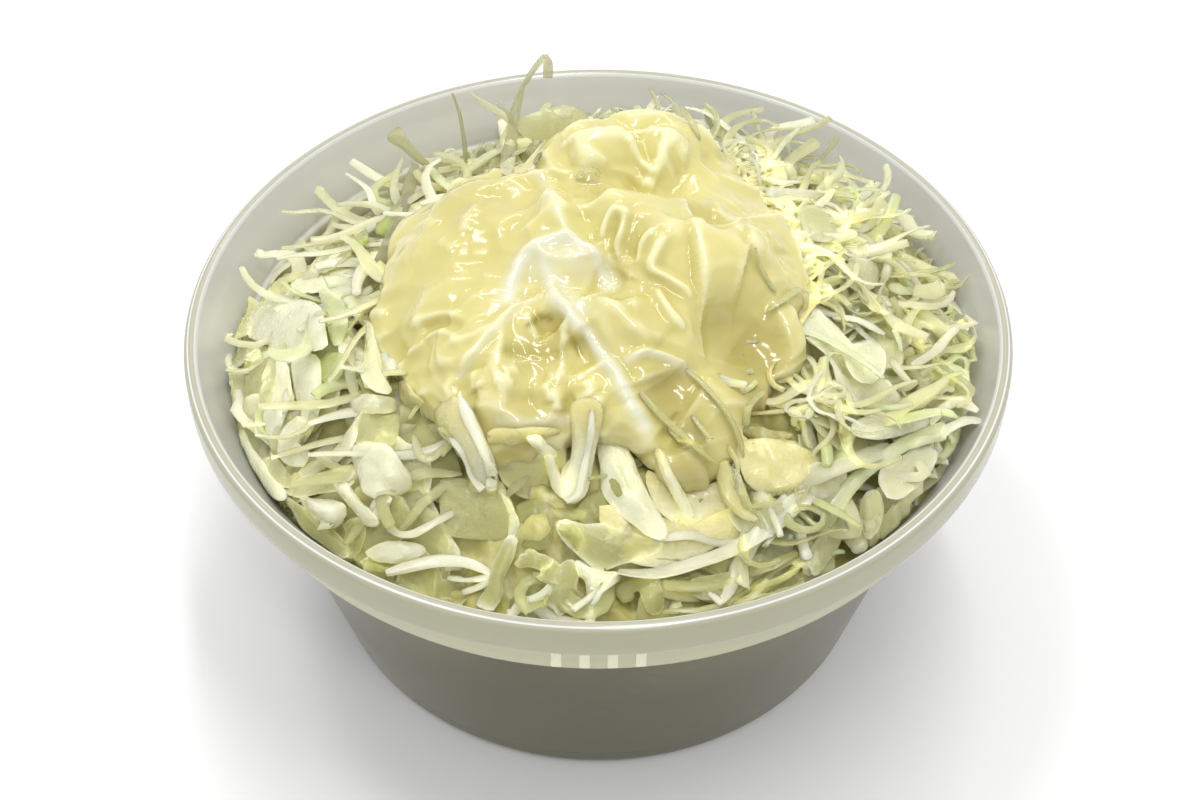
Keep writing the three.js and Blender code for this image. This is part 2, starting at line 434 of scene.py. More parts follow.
def layStrands(pile, look, rng):
    # one strand after another: each lies on those before it
    fine = 4 * (look["steps"] - 1) + 1
    strands = []
    left = 0
    for _ in range(look["count"]):
        length = rng.uniform(*look["length"])
        halfWidth = rng.uniform(*look["width"]) / 2
        halfThick = rng.uniform(*look["thick"]) / 2
        for _ in range(5):  # tries to find it a place
            if left <= 0:  # a new bundle of strands that run alike
                left = rng.integers(1, look["bundle"] + 1)
                bundleMiddle, angle = inZone(look["zones"], rng)
                bundleHeading = angle + math.radians(rng.normal(0, 180))
            left -= 1
            middle = bundleMiddle + rng.normal(0, bundleAside, 2)
            heading = bundleHeading + rng.normal(0, bundleFan)
            x, y, s = wander(middle, heading, length, look["bend"], look["wave"], fine, rng)
            radius = np.hypot(x, y)
            most = insideRadius(readMap(heapMap, x, y)) - halfWidth - 0.2
            if (radius > most + 1.5).mean() > 0.2:
                continue
            x = x * np.minimum(1, most / radius)
            y = y * np.minimum(1, most / radius)
            stiff = max(2, int(look["stiff"] / (length / fine)))
            normal = (-np.gradient(y), np.gradient(x))
            size = np.hypot(*normal) + 1e-9
            contact = pile.settle(x, y, halfWidth, stiff, (normal[0] / size, normal[1] / size))
            over = contact - readMap(pile.limit, x, y)
            if over.mean() < look["over"] and over.max() < look["over"] + 2.0:
                break
            left = 0
        else:
            continue
        z = contact + halfThick * look["pack"]
        slope = math.tan(math.radians(rng.normal(0, look["pitch"])))
        z = smoothRow(np.maximum(z, z[fine // 2] + slope * s), 3)
        share = np.clip((np.abs(s) / (length / 2) - 0.45) / 0.55, 0, 1) ** 2
        ends = rng.exponential(look["lift"], 2)
        z = z + np.where(s < 0, ends[0], ends[1]) * share
        pile.cover(x, y, contact + 2 * halfThick * look["pack"], halfWidth)
        path = keepInCup(np.stack([x, y, z], 1), halfWidth)[::4]
        along = np.linspace(0, 1, look["steps"])
        taper = 1 - look["taper"] * np.abs(2 * along - 1) ** 3
        uneven = 1 + look["uneven"] * np.sin(along * rng.uniform(5, 14) + rng.uniform(0, 6.28))
        coat = readMap(nearDressing, path[:, 0], path[:, 1]) * look.get("coat", 1)
        strands.append({
            "path": path,
            "roll": rng.normal(0, look["roll"]) + rng.normal(0, look["twist"]) * (along - 0.5),
            "halfWidth": halfWidth * taper * uneven,
            "halfThick": halfThick * (1 - 0.4 * (1 - taper)) * np.ones(look["steps"]),
            "tint": rng.uniform(0, 1),
            "green": rng.uniform(0, 1) ** 3,
            "coat": coat * rng.uniform(0.2, 1.0),
            "curl": rng.normal(0, look.get("curl", 0)),
            "ripple": rng.uniform(0, look["ripple"]),
            "waves": rng.uniform(4, 9),
        })
        if rng.uniform() < look.get("fork", 0):
            strands.append(forkOf(strands[-1], rng))
    inside = np.hypot(*np.meshgrid(mapAxis, mapAxis)) < 50
    print("laid", len(strands), "heap is at", round(float((pile.top - pile.limit)[inside].mean()), 2), "mm")
    return strands


def forkOf(strand, rng):
    # a thinner strand that leaves another part of the way along it
    path = strand["path"]
    count = len(path)
    start = rng.integers(count // 4, count // 2)
    old = np.linspace(start, count - 1, count)
    follow = np.stack([np.interp(old, np.arange(count), path[:, i]) for i in range(3)], 1)
    away = follow - follow[0]
    turn = math.radians(rng.choice((-1, 1)) * rng.uniform(14, 34))
    share = np.clip(np.linspace(0, 1.6, count), 0, 1)
    angle = turn * share
    x = away[:, 0] * np.cos(angle) - away[:, 1] * np.sin(angle)
    y = away[:, 0] * np.sin(angle) + away[:, 1] * np.cos(angle)
    moved = np.stack([x, y, away[:, 2] + 0.4 * share], 1) * rng.uniform(0.6, 0.95) + follow[0]
    return {
        **strand,
        "path": keepInCup(moved, 0.5),
        "halfWidth": strand["halfWidth"] * 0.7,
        "halfThick": strand["halfThick"] * 0.8,
    }


def swept(name, strands, kind):
    # one joined mesh of all the strands, each a closed tube of its section
    ring = sectionOf(kind)
    k = len(ring)
    points, looks, uvs, faces = [], [], [], []
    base = 0
    for strand in strands:
        path = strand["path"]
        count = len(path)
        along = np.linspace(0, 1, count)
        side, upward = strandFrame(path, strand["roll"])
        across = ring[:, 0] * strand["halfWidth"][:, None]
        rise = ring[:, 1] * strand["halfThick"][:, None]
        cupped = strand["curl"] * (ring[:, 0] ** 2 - 0.4)
        wave = np.sin(ring[:, 0] * 2.6 + along[:, None] * strand["waves"] + strand["tint"] * 40)
        rise = rise + (cupped + strand["ripple"] * wave) * strand["halfWidth"][:, None]
        moved = path[:, None] + side[:, None] * across[..., None] + upward[:, None] * rise[..., None]
        points.append(heldInside(moved.reshape(-1, 3)))
        coat = np.broadcast_to(strand["coat"], count)
        look = np.stack([np.full(count, strand["tint"]), coat, np.full(count, strand["green"])], 1)
        looks.append(np.repeat(look, k, axis=0))
        run = np.r_[0, np.cumsum(np.linalg.norm(np.diff(path, axis=0), axis=1))]
        uv = np.stack([np.repeat(run, k), across.ravel()], 1)
        uvs.append(uv + strand["tint"] * 37)
        i = np.arange(count - 1)[:, None] * k
        j = np.arange(k)[None]
        after = (j + 1) % k
        quads = np.stack([i + j, i + after, i + k + after, i + k + j], -1).reshape(-1, 4) + base
        faces += quads.tolist()
        faces.append((base + np.arange(k)[::-1]).tolist())
        faces.append((base + (count - 1) * k + np.arange(k)).tolist())
        base += count * k
    print(name, len(strands), "strands,", sum(len(face) - 2 for face in faces), "triangles")
    return shredMesh(name, points, faces, looks, uvs)


sheetShares = (0.3, 0.55, 0.75, 0.9, 1.0)  # rings of a piece of leaf, from its middle to its rim
sheetTurns = 28  # points round it
viewScale = 0.14  # mm for one step across the view, about


def creased(places, size, seed):
    # soft waves with sharp folds between them
    return 0.5 * smoothNoise(places, size, seed) + 0.7 - 1.1 * np.abs(smoothNoise(places, size, seed + 500))


def spokes(rim):
    middle = rim.mean(axis=0)
    rows = [middle + share * (rim - middle) for share in sheetShares]
    return np.concatenate([middle[None]] + rows), np.r_[0, np.repeat(sheetShares, sheetTurns)]


def turnsLeft(rim):
    after = np.roll(rim, -1, axis=0)
    return (rim[:, 0] * after[:, 1] - rim[:, 1] * after[:, 0]).sum() > 0


def calmed(places, heights, known, over=75):
    # a bent plane that lies over most of the scattered heights
    a, b = ((places - places.mean(axis=0)) / places.std()).T
    terms = np.stack([np.ones(len(a)), a, b, a * a, a * b, b * b], 1)
    plane = terms @ np.linalg.lstsq(terms[known], heights[known], rcond=None)[0]
    return plane + np.percentile((heights - plane)[known], over)


def sheetFrom(points, shares, away, places, look):
    return {
        "points": keepInCup(points, 0.4), "shares": shares, "away": away, "places": places,
        "thick": look.get("thick", 0.6), "tint": look.get("tint", 0.4), "coat": look.get("coat", 0),
        "green": look.get("green", 0.1),
    }


def sheetAt(look, tree, seed):
    # a piece of leaf inside an outline of the view, over what lies there
    rim = closedCurve(look["rim"], sheetTurns)
    ragged = np.random.default_rng(seed).normal(0, look.get("ragged", 0.02), sheetTurns)
    rim = rim + (rim - rim.mean(axis=0)) * ragged[:, None]
    if turnsLeft(rim):  # the view counts downwards
        rim = rim[::-1]
    spots, shares = spokes(rim)
    eye = Vector(viewpoint["place"])
    aims = [sightLine(u, v) for u, v in spots]
    hits = [tree.ray_cast(eye, aim)[0] for aim in aims]
    depths = np.array([(hit - eye).length if hit else 0 for hit in hits])
    known = depths > 0
    if known.mean() < 0.4:
        nearest = np.full(len(spots), depths[known].mean() if known.any() else depthBelow(tree, *spots[0]))
    else:
        nearest = -calmed(spots, -depths, known, look.get("over", 90))
    down = np.interp(spots[:, 1], (spots[:, 1].min(), spots[:, 1].max()), (0, 1))
    lift = look.get("lift", 0.8) * (1 - 0.7 * shares**2) - look.get("sunk", 0) * np.clip(1 - 3 * down, 0, 1)
    places = spots * viewScale
    creases = creased(np.c_[places, shares * 0], look.get("fold", 3), seed)
    lift = lift + look.get("crumple", 0.35) * creases
    points = np.array(eye) + np.array(aims) * (nearest - lift)[:, None]
    sheet = sheetFrom(points, shares, -np.array(aims[0]), places, look)
    sheet["coat"] = sheet["coat"] + (look.get("coatTo", sheet["coat"]) - sheet["coat"]) * down
    return sheet


def layChunks(pile, look, rng):
    # crumpled pieces of leaf, each on those before it
    turn = np.linspace(0, 2 * math.pi, sheetTurns, endpoint=False)
    chunks = []
    for _ in range(look["count"]):
        middle = inZone(look["zones"], rng)[0]
        heading = rng.uniform(0, 6.28)
        half = rng.uniform(*look["length"]) / 2, rng.uniform(*look["width"]) / 2
        waves = (depth * np.sin(k * turn + rng.uniform(0, 6.28)) for k, depth in look["outline"].items())
        bulge = 1 + sum(waves)
        flat = np.stack([half[0] * np.cos(turn), half[1] * np.sin(turn)], 1) * bulge[:, None]
        local, shares = spokes(flat)
        c, s = math.cos(heading), math.sin(heading)
        places = local @ np.array(((c, s), (-s, c))) + middle
        most = insideRadius(readMap(heapMap, *places.T)) - 0.5
        places *= np.minimum(1, most / np.hypot(*places.T))[:, None]
        contact = calmed(places, readMap(pile.top, *places.T), shares >= 0, look["lies"])
        over = contact - readMap(pile.limit, *places.T)
        if over.mean() > look["over"] or over.max() > look["over"] + 2.5:
            continue
        seed = int(rng.integers(1000))
        crumple = rng.uniform(*look["crumple"]) * creased(np.c_[local, shares * 0], look["fold"], seed)
        crumple = crumple + rng.normal(0, look["curl"]) * (local[:, 1] / half[1]) ** 2
        slope = local @ rng.normal(0, math.tan(math.radians(look["pitch"])), 2)
        height = contact + crumple + slope - slope.min() * 0.5
        pile.cover(*places.T, height, 0.8)
        chunks.append(sheetFrom(np.c_[places, height + 0.2], shares, np.array((0, 0, 1.0)), local, {
            "thick": rng.uniform(*look["thick"]),
            "tint": rng.uniform(0.1, 1.1),
            "green": rng.uniform(0, 1) ** 5,
            "coat": float(readMap(nearDressing, *places.T).mean()) * rng.uniform(0.2, 1.0),
        }))
    print("laid", len(chunks), "chunks")
    return chunks


def sheetMesh(name, sheets):
    # one joined mesh; the upper and the lower face of each sheet meet at its rim
    turns = sheetTurns
    j = np.arange(turns)
    after = (j + 1) % turns
    fan = np.stack([0 * j, 1 + j, 1 + after], 1)
    band = np.stack([1 + j, 1 + turns + j, 1 + turns + after, 1 + after], 1)
    bands = np.concatenate([band + k * turns for k in range(len(sheetShares) - 1)])
    count = 1 + turns * len(sheetShares)
    edge = 1 + turns * (len(sheetShares) - 1)
    rim = np.stack([edge + j, count + edge + j, count + edge + after, edge + after], 1)
    pattern = fan.tolist() + bands.tolist() + (fan[:, ::-1] + count).tolist()
    pattern += (bands[:, ::-1] + count).tolist() + rim.tolist()
    points, looks, uvs, faces = [], [], [], []
    for i, sheet in enumerate(sheets):
        half = sheet["thick"] / 2 * (1 - 0.8 * sheet["shares"] ** 3)[:, None] * sheet["away"]
        points += [heldInside(sheet["points"] + half), heldInside(sheet["points"] - half)]
        coat = np.broadcast_to(sheet["coat"], count)
        # pieces under tint 1.4 get paler rims: a painted highlight where the cut edges catch the light
        tint = sheet["tint"] - 0.5 * sheet["shares"] ** 6 * (sheet["tint"] < 1.4)
        looks += [np.stack([tint, coat, np.full(count, sheet["green"])], 1)] * 2
        uvs += [sheet["places"] + i * 7.3] * 2
        base = i * 2 * count
        faces += [[base + corner for corner in face] for face in pattern]
    print(name, len(sheets), "sheets,", sum(len(face) - 2 for face in faces), "triangles")
    return shredMesh(name, points, faces, looks, uvs)


def srgb(r, g, b):
    def linear(value):
        value /= 255
        return value / 12.92 if value <= 0.04045 else ((value + 0.055) / 1.055) ** 2.4
    return (linear(r), linear(g), linear(b), 1)


def newMaterial(name):
    material = bpy.data.materials.new(name)
    material.use_nodes = True
    tree = material.node_tree
    shader = tree.nodes["Principled BSDF"]
    return material, tree, shader


def link(tree, source, target):
    tree.links.new(source, target)


def addNode(tree, kind, **settings):
    node = tree.nodes.new(kind)
    for name, value in settings.items():
        setattr(node, name, value)
    return node


def setSockets(node, values):
    for name, value in values.items():
        node.inputs[name].default_value = value


def noise(tree, coordinates, scale, detail=3.0, roughness=0.5):
    node = addNode(tree, "ShaderNodeTexNoise")
    setSockets(node, {"Scale": scale, "Detail": detail, "Roughness": roughness})
    link(tree, coordinates, node.inputs["Vector"])
    return node.outputs["Fac"]


def remap(tree, value, low, high, toLow, toHigh):
    node = addNode(tree, "ShaderNodeMapRange")
    setSockets(node, {"From Min": low, "From Max": high, "To Min": toLow, "To Max": toHigh})
    link(tree, value, node.inputs["Value"])
    return node.outputs["Result"]


def blend(tree, factor, first, second):
    node = addNode(tree, "ShaderNodeMix", data_type="RGBA")
    for source, target in ((factor, node.inputs[0]), (first, node.inputs[6]), (second, node.inputs[7])):
        if isinstance(source, (tuple, float, int)):
            target.default_value = source
        else:
            link(tree, source, target)
    return node.outputs[2]


def calc(tree, operation, first, second):
    node = addNode(tree, "ShaderNodeMath", operation=operation)
    for source, target in zip((first, second), node.inputs):
        if isinstance(source, (float, int)):
            target.default_value = source
        else:
            link(tree, source, target)
    return node.outputs[0]


def times(tree, first, second):
    return calc(tree, "MULTIPLY", first, second)


def plus(tree, first, second):
    return calc(tree, "ADD", first, second)


def placeAxes(tree):
    # object coordinates, and the three of them apart
    place = addNode(tree, "ShaderNodeTexCoord").outputs["Object"]
    axes = addNode(tree, "ShaderNodeSeparateXYZ")
    link(tree, place, axes.inputs[0])
    return place, *axes.outputs


def bumped(tree, shader, height, strength, distance):
    bump = addNode(tree, "ShaderNodeBump")
    setSockets(bump, {"Strength": strength, "Distance": distance * mm})
    link(tree, height, bump.inputs["Height"])
    link(tree, bump.outputs["Normal"], shader.inputs["Normal"])


def rising(tree, value, edges, most):
    # goes from 0 to most between two places in mm
    return remap(tree, value, edges[0] * mm, edges[1] * mm, 0, most)


def scattered(shader, weight, radius, scale):
    setSockets(shader, {
        "Subsurface Weight": weight,
        "Subsurface Radius": radius,
        "Subsurface Scale": scale * mm,
    })


def newGroup(name, inputs, outputs):
    group = bpy.data.node_groups.new(name, "ShaderNodeTree")
    for way, sockets in (("INPUT", inputs), ("OUTPUT", outputs)):
        for socket, kind in sockets:
            group.interface.new_socket(socket, in_out=way, socket_type="NodeSocket" + kind)
    return group, group.nodes.new("NodeGroupInput"), group.nodes.new("NodeGroupOutput")


shredTones = {  # colours: the dressing's coat, and the dim, olive and shadow tones of painted shade; and how far in mm the painted shade reaches from the front and from the back
    "dressing": (221, 212, 145), "dim": (184, 183, 140), "oliveShade": (128, 124, 74), "shadow": (172, 170, 100),
    "frontFrom": (-22, -42), "frontMost": 0.78, "aside": (40, 18), "backFrom": (12, 38), "backMost": 0.72,
}


def shredSkinGroup():
    # colour, wetness, creases and thinness of a cut piece of cabbage
    group, given, made = newGroup(
        "shredSkin",
        [("Pale", "Color"), ("Deep", "Color"), ("Green", "Color"), ("Fibres", "Float")],
        [("Color", "Color"), ("Roughness", "Float"), ("Height", "Float"), ("Thinness", "Float")],
    )
    look = addNode(group, "ShaderNodeVertexColor", layer_name="look")
    parts = addNode(group, "ShaderNodeSeparateColor")
    link(group, look.outputs["Color"], parts.inputs[0])
    tint, coat, green = parts.outputs
    uv = addNode(group, "ShaderNodeUVMap", uv_map="alongStrand")
    stretch = addNode(group, "ShaderNodeMapping")
    stretch.inputs["Scale"].default_value = (0.2, 1.7, 1)
    link(group, uv.outputs[0], stretch.inputs[0])
    fibre = noise(group, stretch.outputs[0], 1.0, 2.0, 0.6)
    place, x, y, _ = placeAxes(group)
    patch = noise(group, place, 110, 2.0)
    spots = noise(group, place, 1300, 2.0)
    halfPatch = times(group, patch, 0.5)
    dim = srgb(*shredTones["dim"])
    deeper = remap(group, plus(group, tint, halfPatch), 0.25, 1.25, 0, 1)
    body = blend(group, deeper, given.outputs["Pale"], given.outputs["Deep"])
    greener = remap(group, plus(group, green, halfPatch), 0.5, 1.3, 0, 1)
    body = blend(group, greener, body, given.outputs["Green"])
    streak = times(group, remap(group, fibre, 0.45, 0.7, 0, 1), given.outputs["Fibres"])
    body = blend(group, streak, body, given.outputs["Deep"])
    # tints from 1 to 3 paint a piece in shade, first dim and then olive
    body = blend(group, remap(group, tint, 1, 2, 0, 1), body, dim)
    body = blend(group, remap(group, tint, 2, 3, 0, 1), body, srgb(*shredTones["oliveShade"]))
    wet = remap(group, plus(group, coat, times(group, spots, 0.4)), 0.62, 0.95, 0, 0.85)
    body = blend(group, wet, body, srgb(*shredTones["dressing"]))
    shaded = remap(group, tint, 0.1, 0.5, 0, 1)  # the palest pieces lie on top, in the light
    # painted shade towards the heap's back and front, on all but the palest pieces; at the front it is
    # strongest in the middle
    back = rising(group, y, shredTones["backFrom"], shredTones["backMost"])
    body = blend(group, times(group, back, shaded), body, dim)
    middle = times(group, remap(group, x, *(edge * mm for edge in shredTones["aside"]), 0.35, 1), shaded)
    front = rising(group, y, shredTones["frontFrom"], shredTones["frontMost"])
    body = blend(group, times(group, front, middle), body, srgb(*shredTones["shadow"]))
    link(group, body, made.inputs["Color"])
    link(group, remap(group, spots, 0.35, 0.65, 0.12, 0.28), made.inputs["Roughness"])
    grown = times(group, fibre, given.outputs["Fibres"])
    crinkle = noise(group, place, 210, 3.0, 0.6)
    crinkle.node.noise_type = "RIDGED_MULTIFRACTAL"
    height = plus(group, times(group, grown, 5.0), times(group, spots, 0.5))
    link(group, plus(group, height, crinkle), made.inputs["Height"])
    dark = calc(group, "MINIMUM", tint, 0.9)
    thin = plus(group, plus(group, grown, patch), times(group, dark, 0.5))
    thin = calc(group, "SUBTRACT", thin, times(group, wet, 0.8))
    link(group, remap(group, thin, 0.4, 1.1, 0, 1), made.inputs["Thinness"])
    return group


shredSkin = shredSkinGroup()


def cabbageMaterial(name, look):
    material, tree, shader = newMaterial(name)
    skin = addNode(tree, "ShaderNodeGroup", node_tree=shredSkin)
    setSockets(skin, {name.capitalize(): srgb(*look[name]) for name in ("pale", "deep", "green")})
    setSockets(skin, {"Fibres": look["fibres"]})
    link(tree, skin.outputs["Color"], shader.inputs["Base Color"])
    link(tree, skin.outputs["Roughness"], shader.inputs["Roughness"])
    bumped(tree, shader, skin.outputs["Height"], 0.75, look["relief"])
    setSockets(shader, {"IOR": 1.4, "Coat Weight": 0.35, "Coat Roughness": 0.08})
    shader.subsurface_method = "BURLEY"  # light carried on through the pieces that touch
    scattered(shader, 0.95, (1.0, 0.95, 0.6), look["deepness"])
    thin, thick = look["film"]
    link(tree, remap(tree, skin.outputs["Thinness"], 0, 1, thick, thin), shader.inputs["Alpha"])
    return material


def arc(r, z, radius, start, end, steps):
    angles = np.radians(np.linspace(start, end, steps + 1))
    return [(r + radius * math.cos(a), z + radius * math.sin(a)) for a in angles]


def cupProfile():
    top = cup["height"]
    wall = cup["wall"]
    collar = top - cup["collar"]
    skirt = top - cup["skirt"]
    roof = top - 2
    ringInner, ringOuter = cup["ring"]
    rim = cup["rim"]
    above = cup["ledgeRadius"] + cup["ledgeWidth"]
    footRound = 3.2
    outside = [(0, 0.7), (36.2, 0.7), (36.9, 0.5), (37.6, 0.08), (38.2, 0)]
    outside += arc(bodyRadius(footRound) - footRound, footRound, footRound, -90, -8, 8)
    outside += [(bodyRadius(20), 20), (bodyRadius(36), 36), (bodyRadius(collar), collar)]
    outside += [(cup["ledgeRadius"] + 2 * wall, ledgeLevel)]
    outside += [(ringInner, collar + 5.2), (ringInner + 0.04, collar + 0.3)]
    outside += arc(ringInner + 0.35, collar + 0.3, 0.3, 180, 360, 6)
    outside += [(ringOuter - 0.02, collar + 2), (ringOuter + 0.03, skirt + 0.2)]
    outside += [(ringOuter + 0.14, skirt + 0.7)]
    outside += [(ringOuter + 1.2, roof - 0.25), (ringOuter + 1.5, roof), (rim - wall - 0.45, roof)]
    outside += [(rim - wall - 0.12, roof - 0.35), (rim - wall, skirt + 0.45)]
    outside += arc(rim - 0.42, skirt + 0.42, 0.4, 180, 360, 6)
    outside += [(rim, skirt + 2), (rim - 0.12, top - 1.3)]
    outside += arc(rim - 1.05, top - 0.95, 0.94, 5, 90, 5)
    outside += arc(cup["mouth"] + cup["lip"], top - cup["lip"], cup["lip"], 90, 180, 6)
    inside = [(above + 0.15, ledgeLevel + 1.2), (above + 0.02, ledgeLevel + 0.5)]
    inside += arc(above - 0.5, ledgeLevel + 0.4, 0.5, 0, -80, 4)
    inside += [(cup["ledgeRadius"] + 0.1, ledgeLevel - 0.25), (cup["ledgeRadius"] - 0.12, ledgeLevel - 0.8)]
    inside += [(bodyRadius(36) - wall, 36), (bodyRadius(20) - wall, 20)]
    corner = cup["floor"] + cup["corner"]
    inside += arc(bodyRadius(corner) - wall - cup["corner"], corner, cup["corner"], -8, -90, 7)
    return outside + inside + [(0, cup["floor"])]


def makeCup():
    profile = cupProfile()
    bpy.ops.object.select_all(action="DESELECT")
    mesh = bpy.data.meshes.new("cupShell")
    edges = [(i, i + 1) for i in range(len(profile) - 1)]
    mesh.from_pydata([(r * mm, 0, z * mm) for r, z in profile], edges, [])
    shell = bpy.data.objects.new("cupShell", mesh)
    scene.collection.objects.link(shell)
    pick(shell)
    bpy.ops.object.mode_set(mode="EDIT")
    bpy.ops.mesh.select_all(action="SELECT")
    whole = {"angle": 2 * math.pi, "center": (0, 0, 0), "axis": (0, 0, 1), "use_auto_merge": True}
    bpy.ops.mesh.spin(steps=cup["turns"], **whole)
    bpy.ops.mesh.select_all(action="SELECT")
    bpy.ops.mesh.remove_doubles(threshold=0.001 * mm)
    bpy.ops.mesh.normals_make_consistent(inside=False)
    bpy.ops.object.mode_set(mode="OBJECT")
    bpy.ops.object.shade_smooth_by_angle(angle=math.radians(48))
    return shell


webs = {"groups": 4, "each": 4, "width": 1.36, "pitch": 3.5, "bottom": 0.4, "top": 5.2, "lean": 2.6}


def makeWebs():
    # stiffening webs in the groove behind the stacking ring
    collar = cup["height"] - cup["collar"]
    low = collar + webs["bottom"]
    high = collar + webs["top"]
    inner = bodyRadius(low) - 0.2
    outer = cup["ring"][1] + 0.08
    bpy.ops.object.select_all(action="DESELECT")
    middle = ((inner + outer) / 2 * mm, 0, (low + high) / 2 * mm)
    bpy.ops.mesh.primitive_cube_add(size=1, location=middle)
    web = bpy.context.object
    web.scale = ((outer - inner) * mm, webs["width"] * mm, (high - low) * mm)
    bpy.ops.object.transform_apply(location=True, rotation=True, scale=True)
    corners = pointsOf(web)
    upper = (corners[:, 2] > (low + high) / 2) & (corners[:, 0] < (inner + outer) / 2)
    corners[upper, 0] += webs["lean"]  # as the wall does there
    movePoints(web, corners)
    applied(web, "BEVEL", width=0.15 * mm, segments=2)
    copies = []
    for group in range(webs["groups"]):
        for i in range(webs["each"]):
            aside = (i - (webs["each"] - 1) / 2) * webs["pitch"] / cup["ring"][1]
            angle = -math.pi / 2 + group * 2 * math.pi / webs["groups"] + aside
            copy = web.copy()
            copy.data = web.data.copy()
            scene.collection.objects.link(copy)
            copy.rotation_euler = (0, 0, angle)
            copies.append(copy)
    bpy.data.objects.remove(web)
    made = joined(copies, "cupWebs")
    bpy.ops.object.transform_apply(location=True, rotation=True, scale=True)
    return made


def cupPlastic(name, look):
    # its colours follow the height as painted light and shade on one frosted plastic: a dark body in painted
    # shade, a paler ring, a shaded skirt, and the bright wall over the ledge
    material, tree, shader = newMaterial(name)
    place, x, y, z = placeAxes(tree)
    cloud = noise(tree, place, 45, 3.0)
    squares = plus(tree, calc(tree, "POWER", x, 2.0), calc(tree, "POWER", y, 2.0))
    radius = calc(tree, "SQRT", squares, 0.5)
    body = blend(tree, rising(tree, z, (0, 34), 1), srgb(*look["foot"]), srgb(*look["body"]))
    food = remap(tree, noise(tree, place, 30, 2.0), 0.4, 0.62, 0, 1)  # what is inside shows a little
    body = blend(tree, times(tree, food, rising(tree, z, (24, 40), 1)), body, srgb(*look["food"]))
    body = blend(tree, rising(tree, z, (38.2, 40.4), 0.4), body, srgb(*look["ring"]))
    shade = blend(tree, rising(tree, z, (41, 42.5), 1), body, srgb(*look["ring"]))
    shade = blend(tree, rising(tree, z, (48.5, 49.5), 1), shade, srgb(*look["skirt"]))
    edge = remap(tree, z, 45 * mm, 53 * mm, 53.35 * mm, 56.75 * mm)  # halfway through the wall
    within = rising(tree, calc(tree, "SUBTRACT", radius, edge), (0.15, -0.15), 1)
    wall = times(tree, rising(tree, z, (44.5, 45.2), 1), within)
    lip = rising(tree, z, (53.5, 53.8), 1)
    for middle, half in ((56.75, 0.22), (57.75, 0.16)):  # two painted highlight lines round the lip
        away = calc(tree, "ABSOLUTE", calc(tree, "SUBTRACT", radius, middle * mm), 0)
        line = remap(tree, away, half * mm, half * 0.5 * mm, 0.1, 1)
        wall = calc(tree, "MAXIMUM", wall, times(tree, lip, line))
    # a painted highlight line along the skirt's lower edge
    hemHighlight = times(tree, rising(tree, z, (49.6, 49.3), 1), rising(tree, radius, (57.2, 57.5), 0.8))
    wall = calc(tree, "MAXIMUM", wall, hemHighlight)
    shade = blend(tree, wall, shade, srgb(*look["wall"]))
    shade = blend(tree, remap(tree, cloud, 0.3, 0.7, 0, 0.06), shade, (0.2, 0.2, 0.16, 1))
    link(tree, shade, shader.inputs["Base Color"])
    rough = look["rough"]
    link(tree, remap(tree, cloud, 0.3, 0.7, rough - 0.04, rough + 0.05), shader.inputs["Roughness"])
    bumped(tree, shader, noise(tree, place, 2600, 2.0), 0.15, 0.02)
    setSockets(shader, {"Transmission Weight": look["clear"], "IOR": 1.49})
    return material


plastics = {
    # the body, foot, ring and skirt colours are painted shade on the same frosted plastic as the wall
    "frostedCup": {
        "wall": (251, 251, 250), "skirt": (190, 188, 160), "ring": (212, 210, 178), "body": (84, 80, 50),
        "foot": (96, 93, 66), "food": (116, 112, 74), "clear": 0.22, "rough": 0.2,
    },
    "cupWeb": {
        **dict.fromkeys(("wall", "skirt", "ring", "body", "foot", "food"), (244, 241, 212)),
        "clear": 0.1, "rough": 0.3,
    },
}
cupShell = makeCup()
cupShell.data.materials.append(cupPlastic("frostedCup", plastics["frostedCup"]))
rides(cupShell, "cup", "cup")
cupWebs = makeWebs()
cupWebs.data.materials.append(cupPlastic("cupWeb", plastics["cupWeb"]))
rides(cupWebs, "cup")
print("cup made")


def mergedCopy(node, name):
    copy = nodes[node].copy()
    copy.data = nodes[node].data.copy()
    copy.name = copy.data.name = name
    scene.collection.objects.link(copy)
    copy.parent = None
    for key in list(copy.keys()):
        del copy[key]
    copy.data.materials.clear()
    pick(copy)
    bpy.ops.object.mode_set(mode="EDIT")
    bpy.ops.mesh.select_all(action="SELECT")
    bpy.ops.mesh.remove_doubles(threshold=0.001 * mm)
    bpy.ops.object.mode_set(mode="OBJECT")
    return copy


core = {
    "drop": 2.3,  # how far its top lies below the heap's outline, in mm
    "front": 0.6,  # and how much more at the front
    "under": 2.6,  # how far below the outline the first strands lie
    "intoWall": 0.12,  # how far its side goes into the cup's wall
    "relief": 1.1,  # height and size of its waves
    "size": 6.5,
}


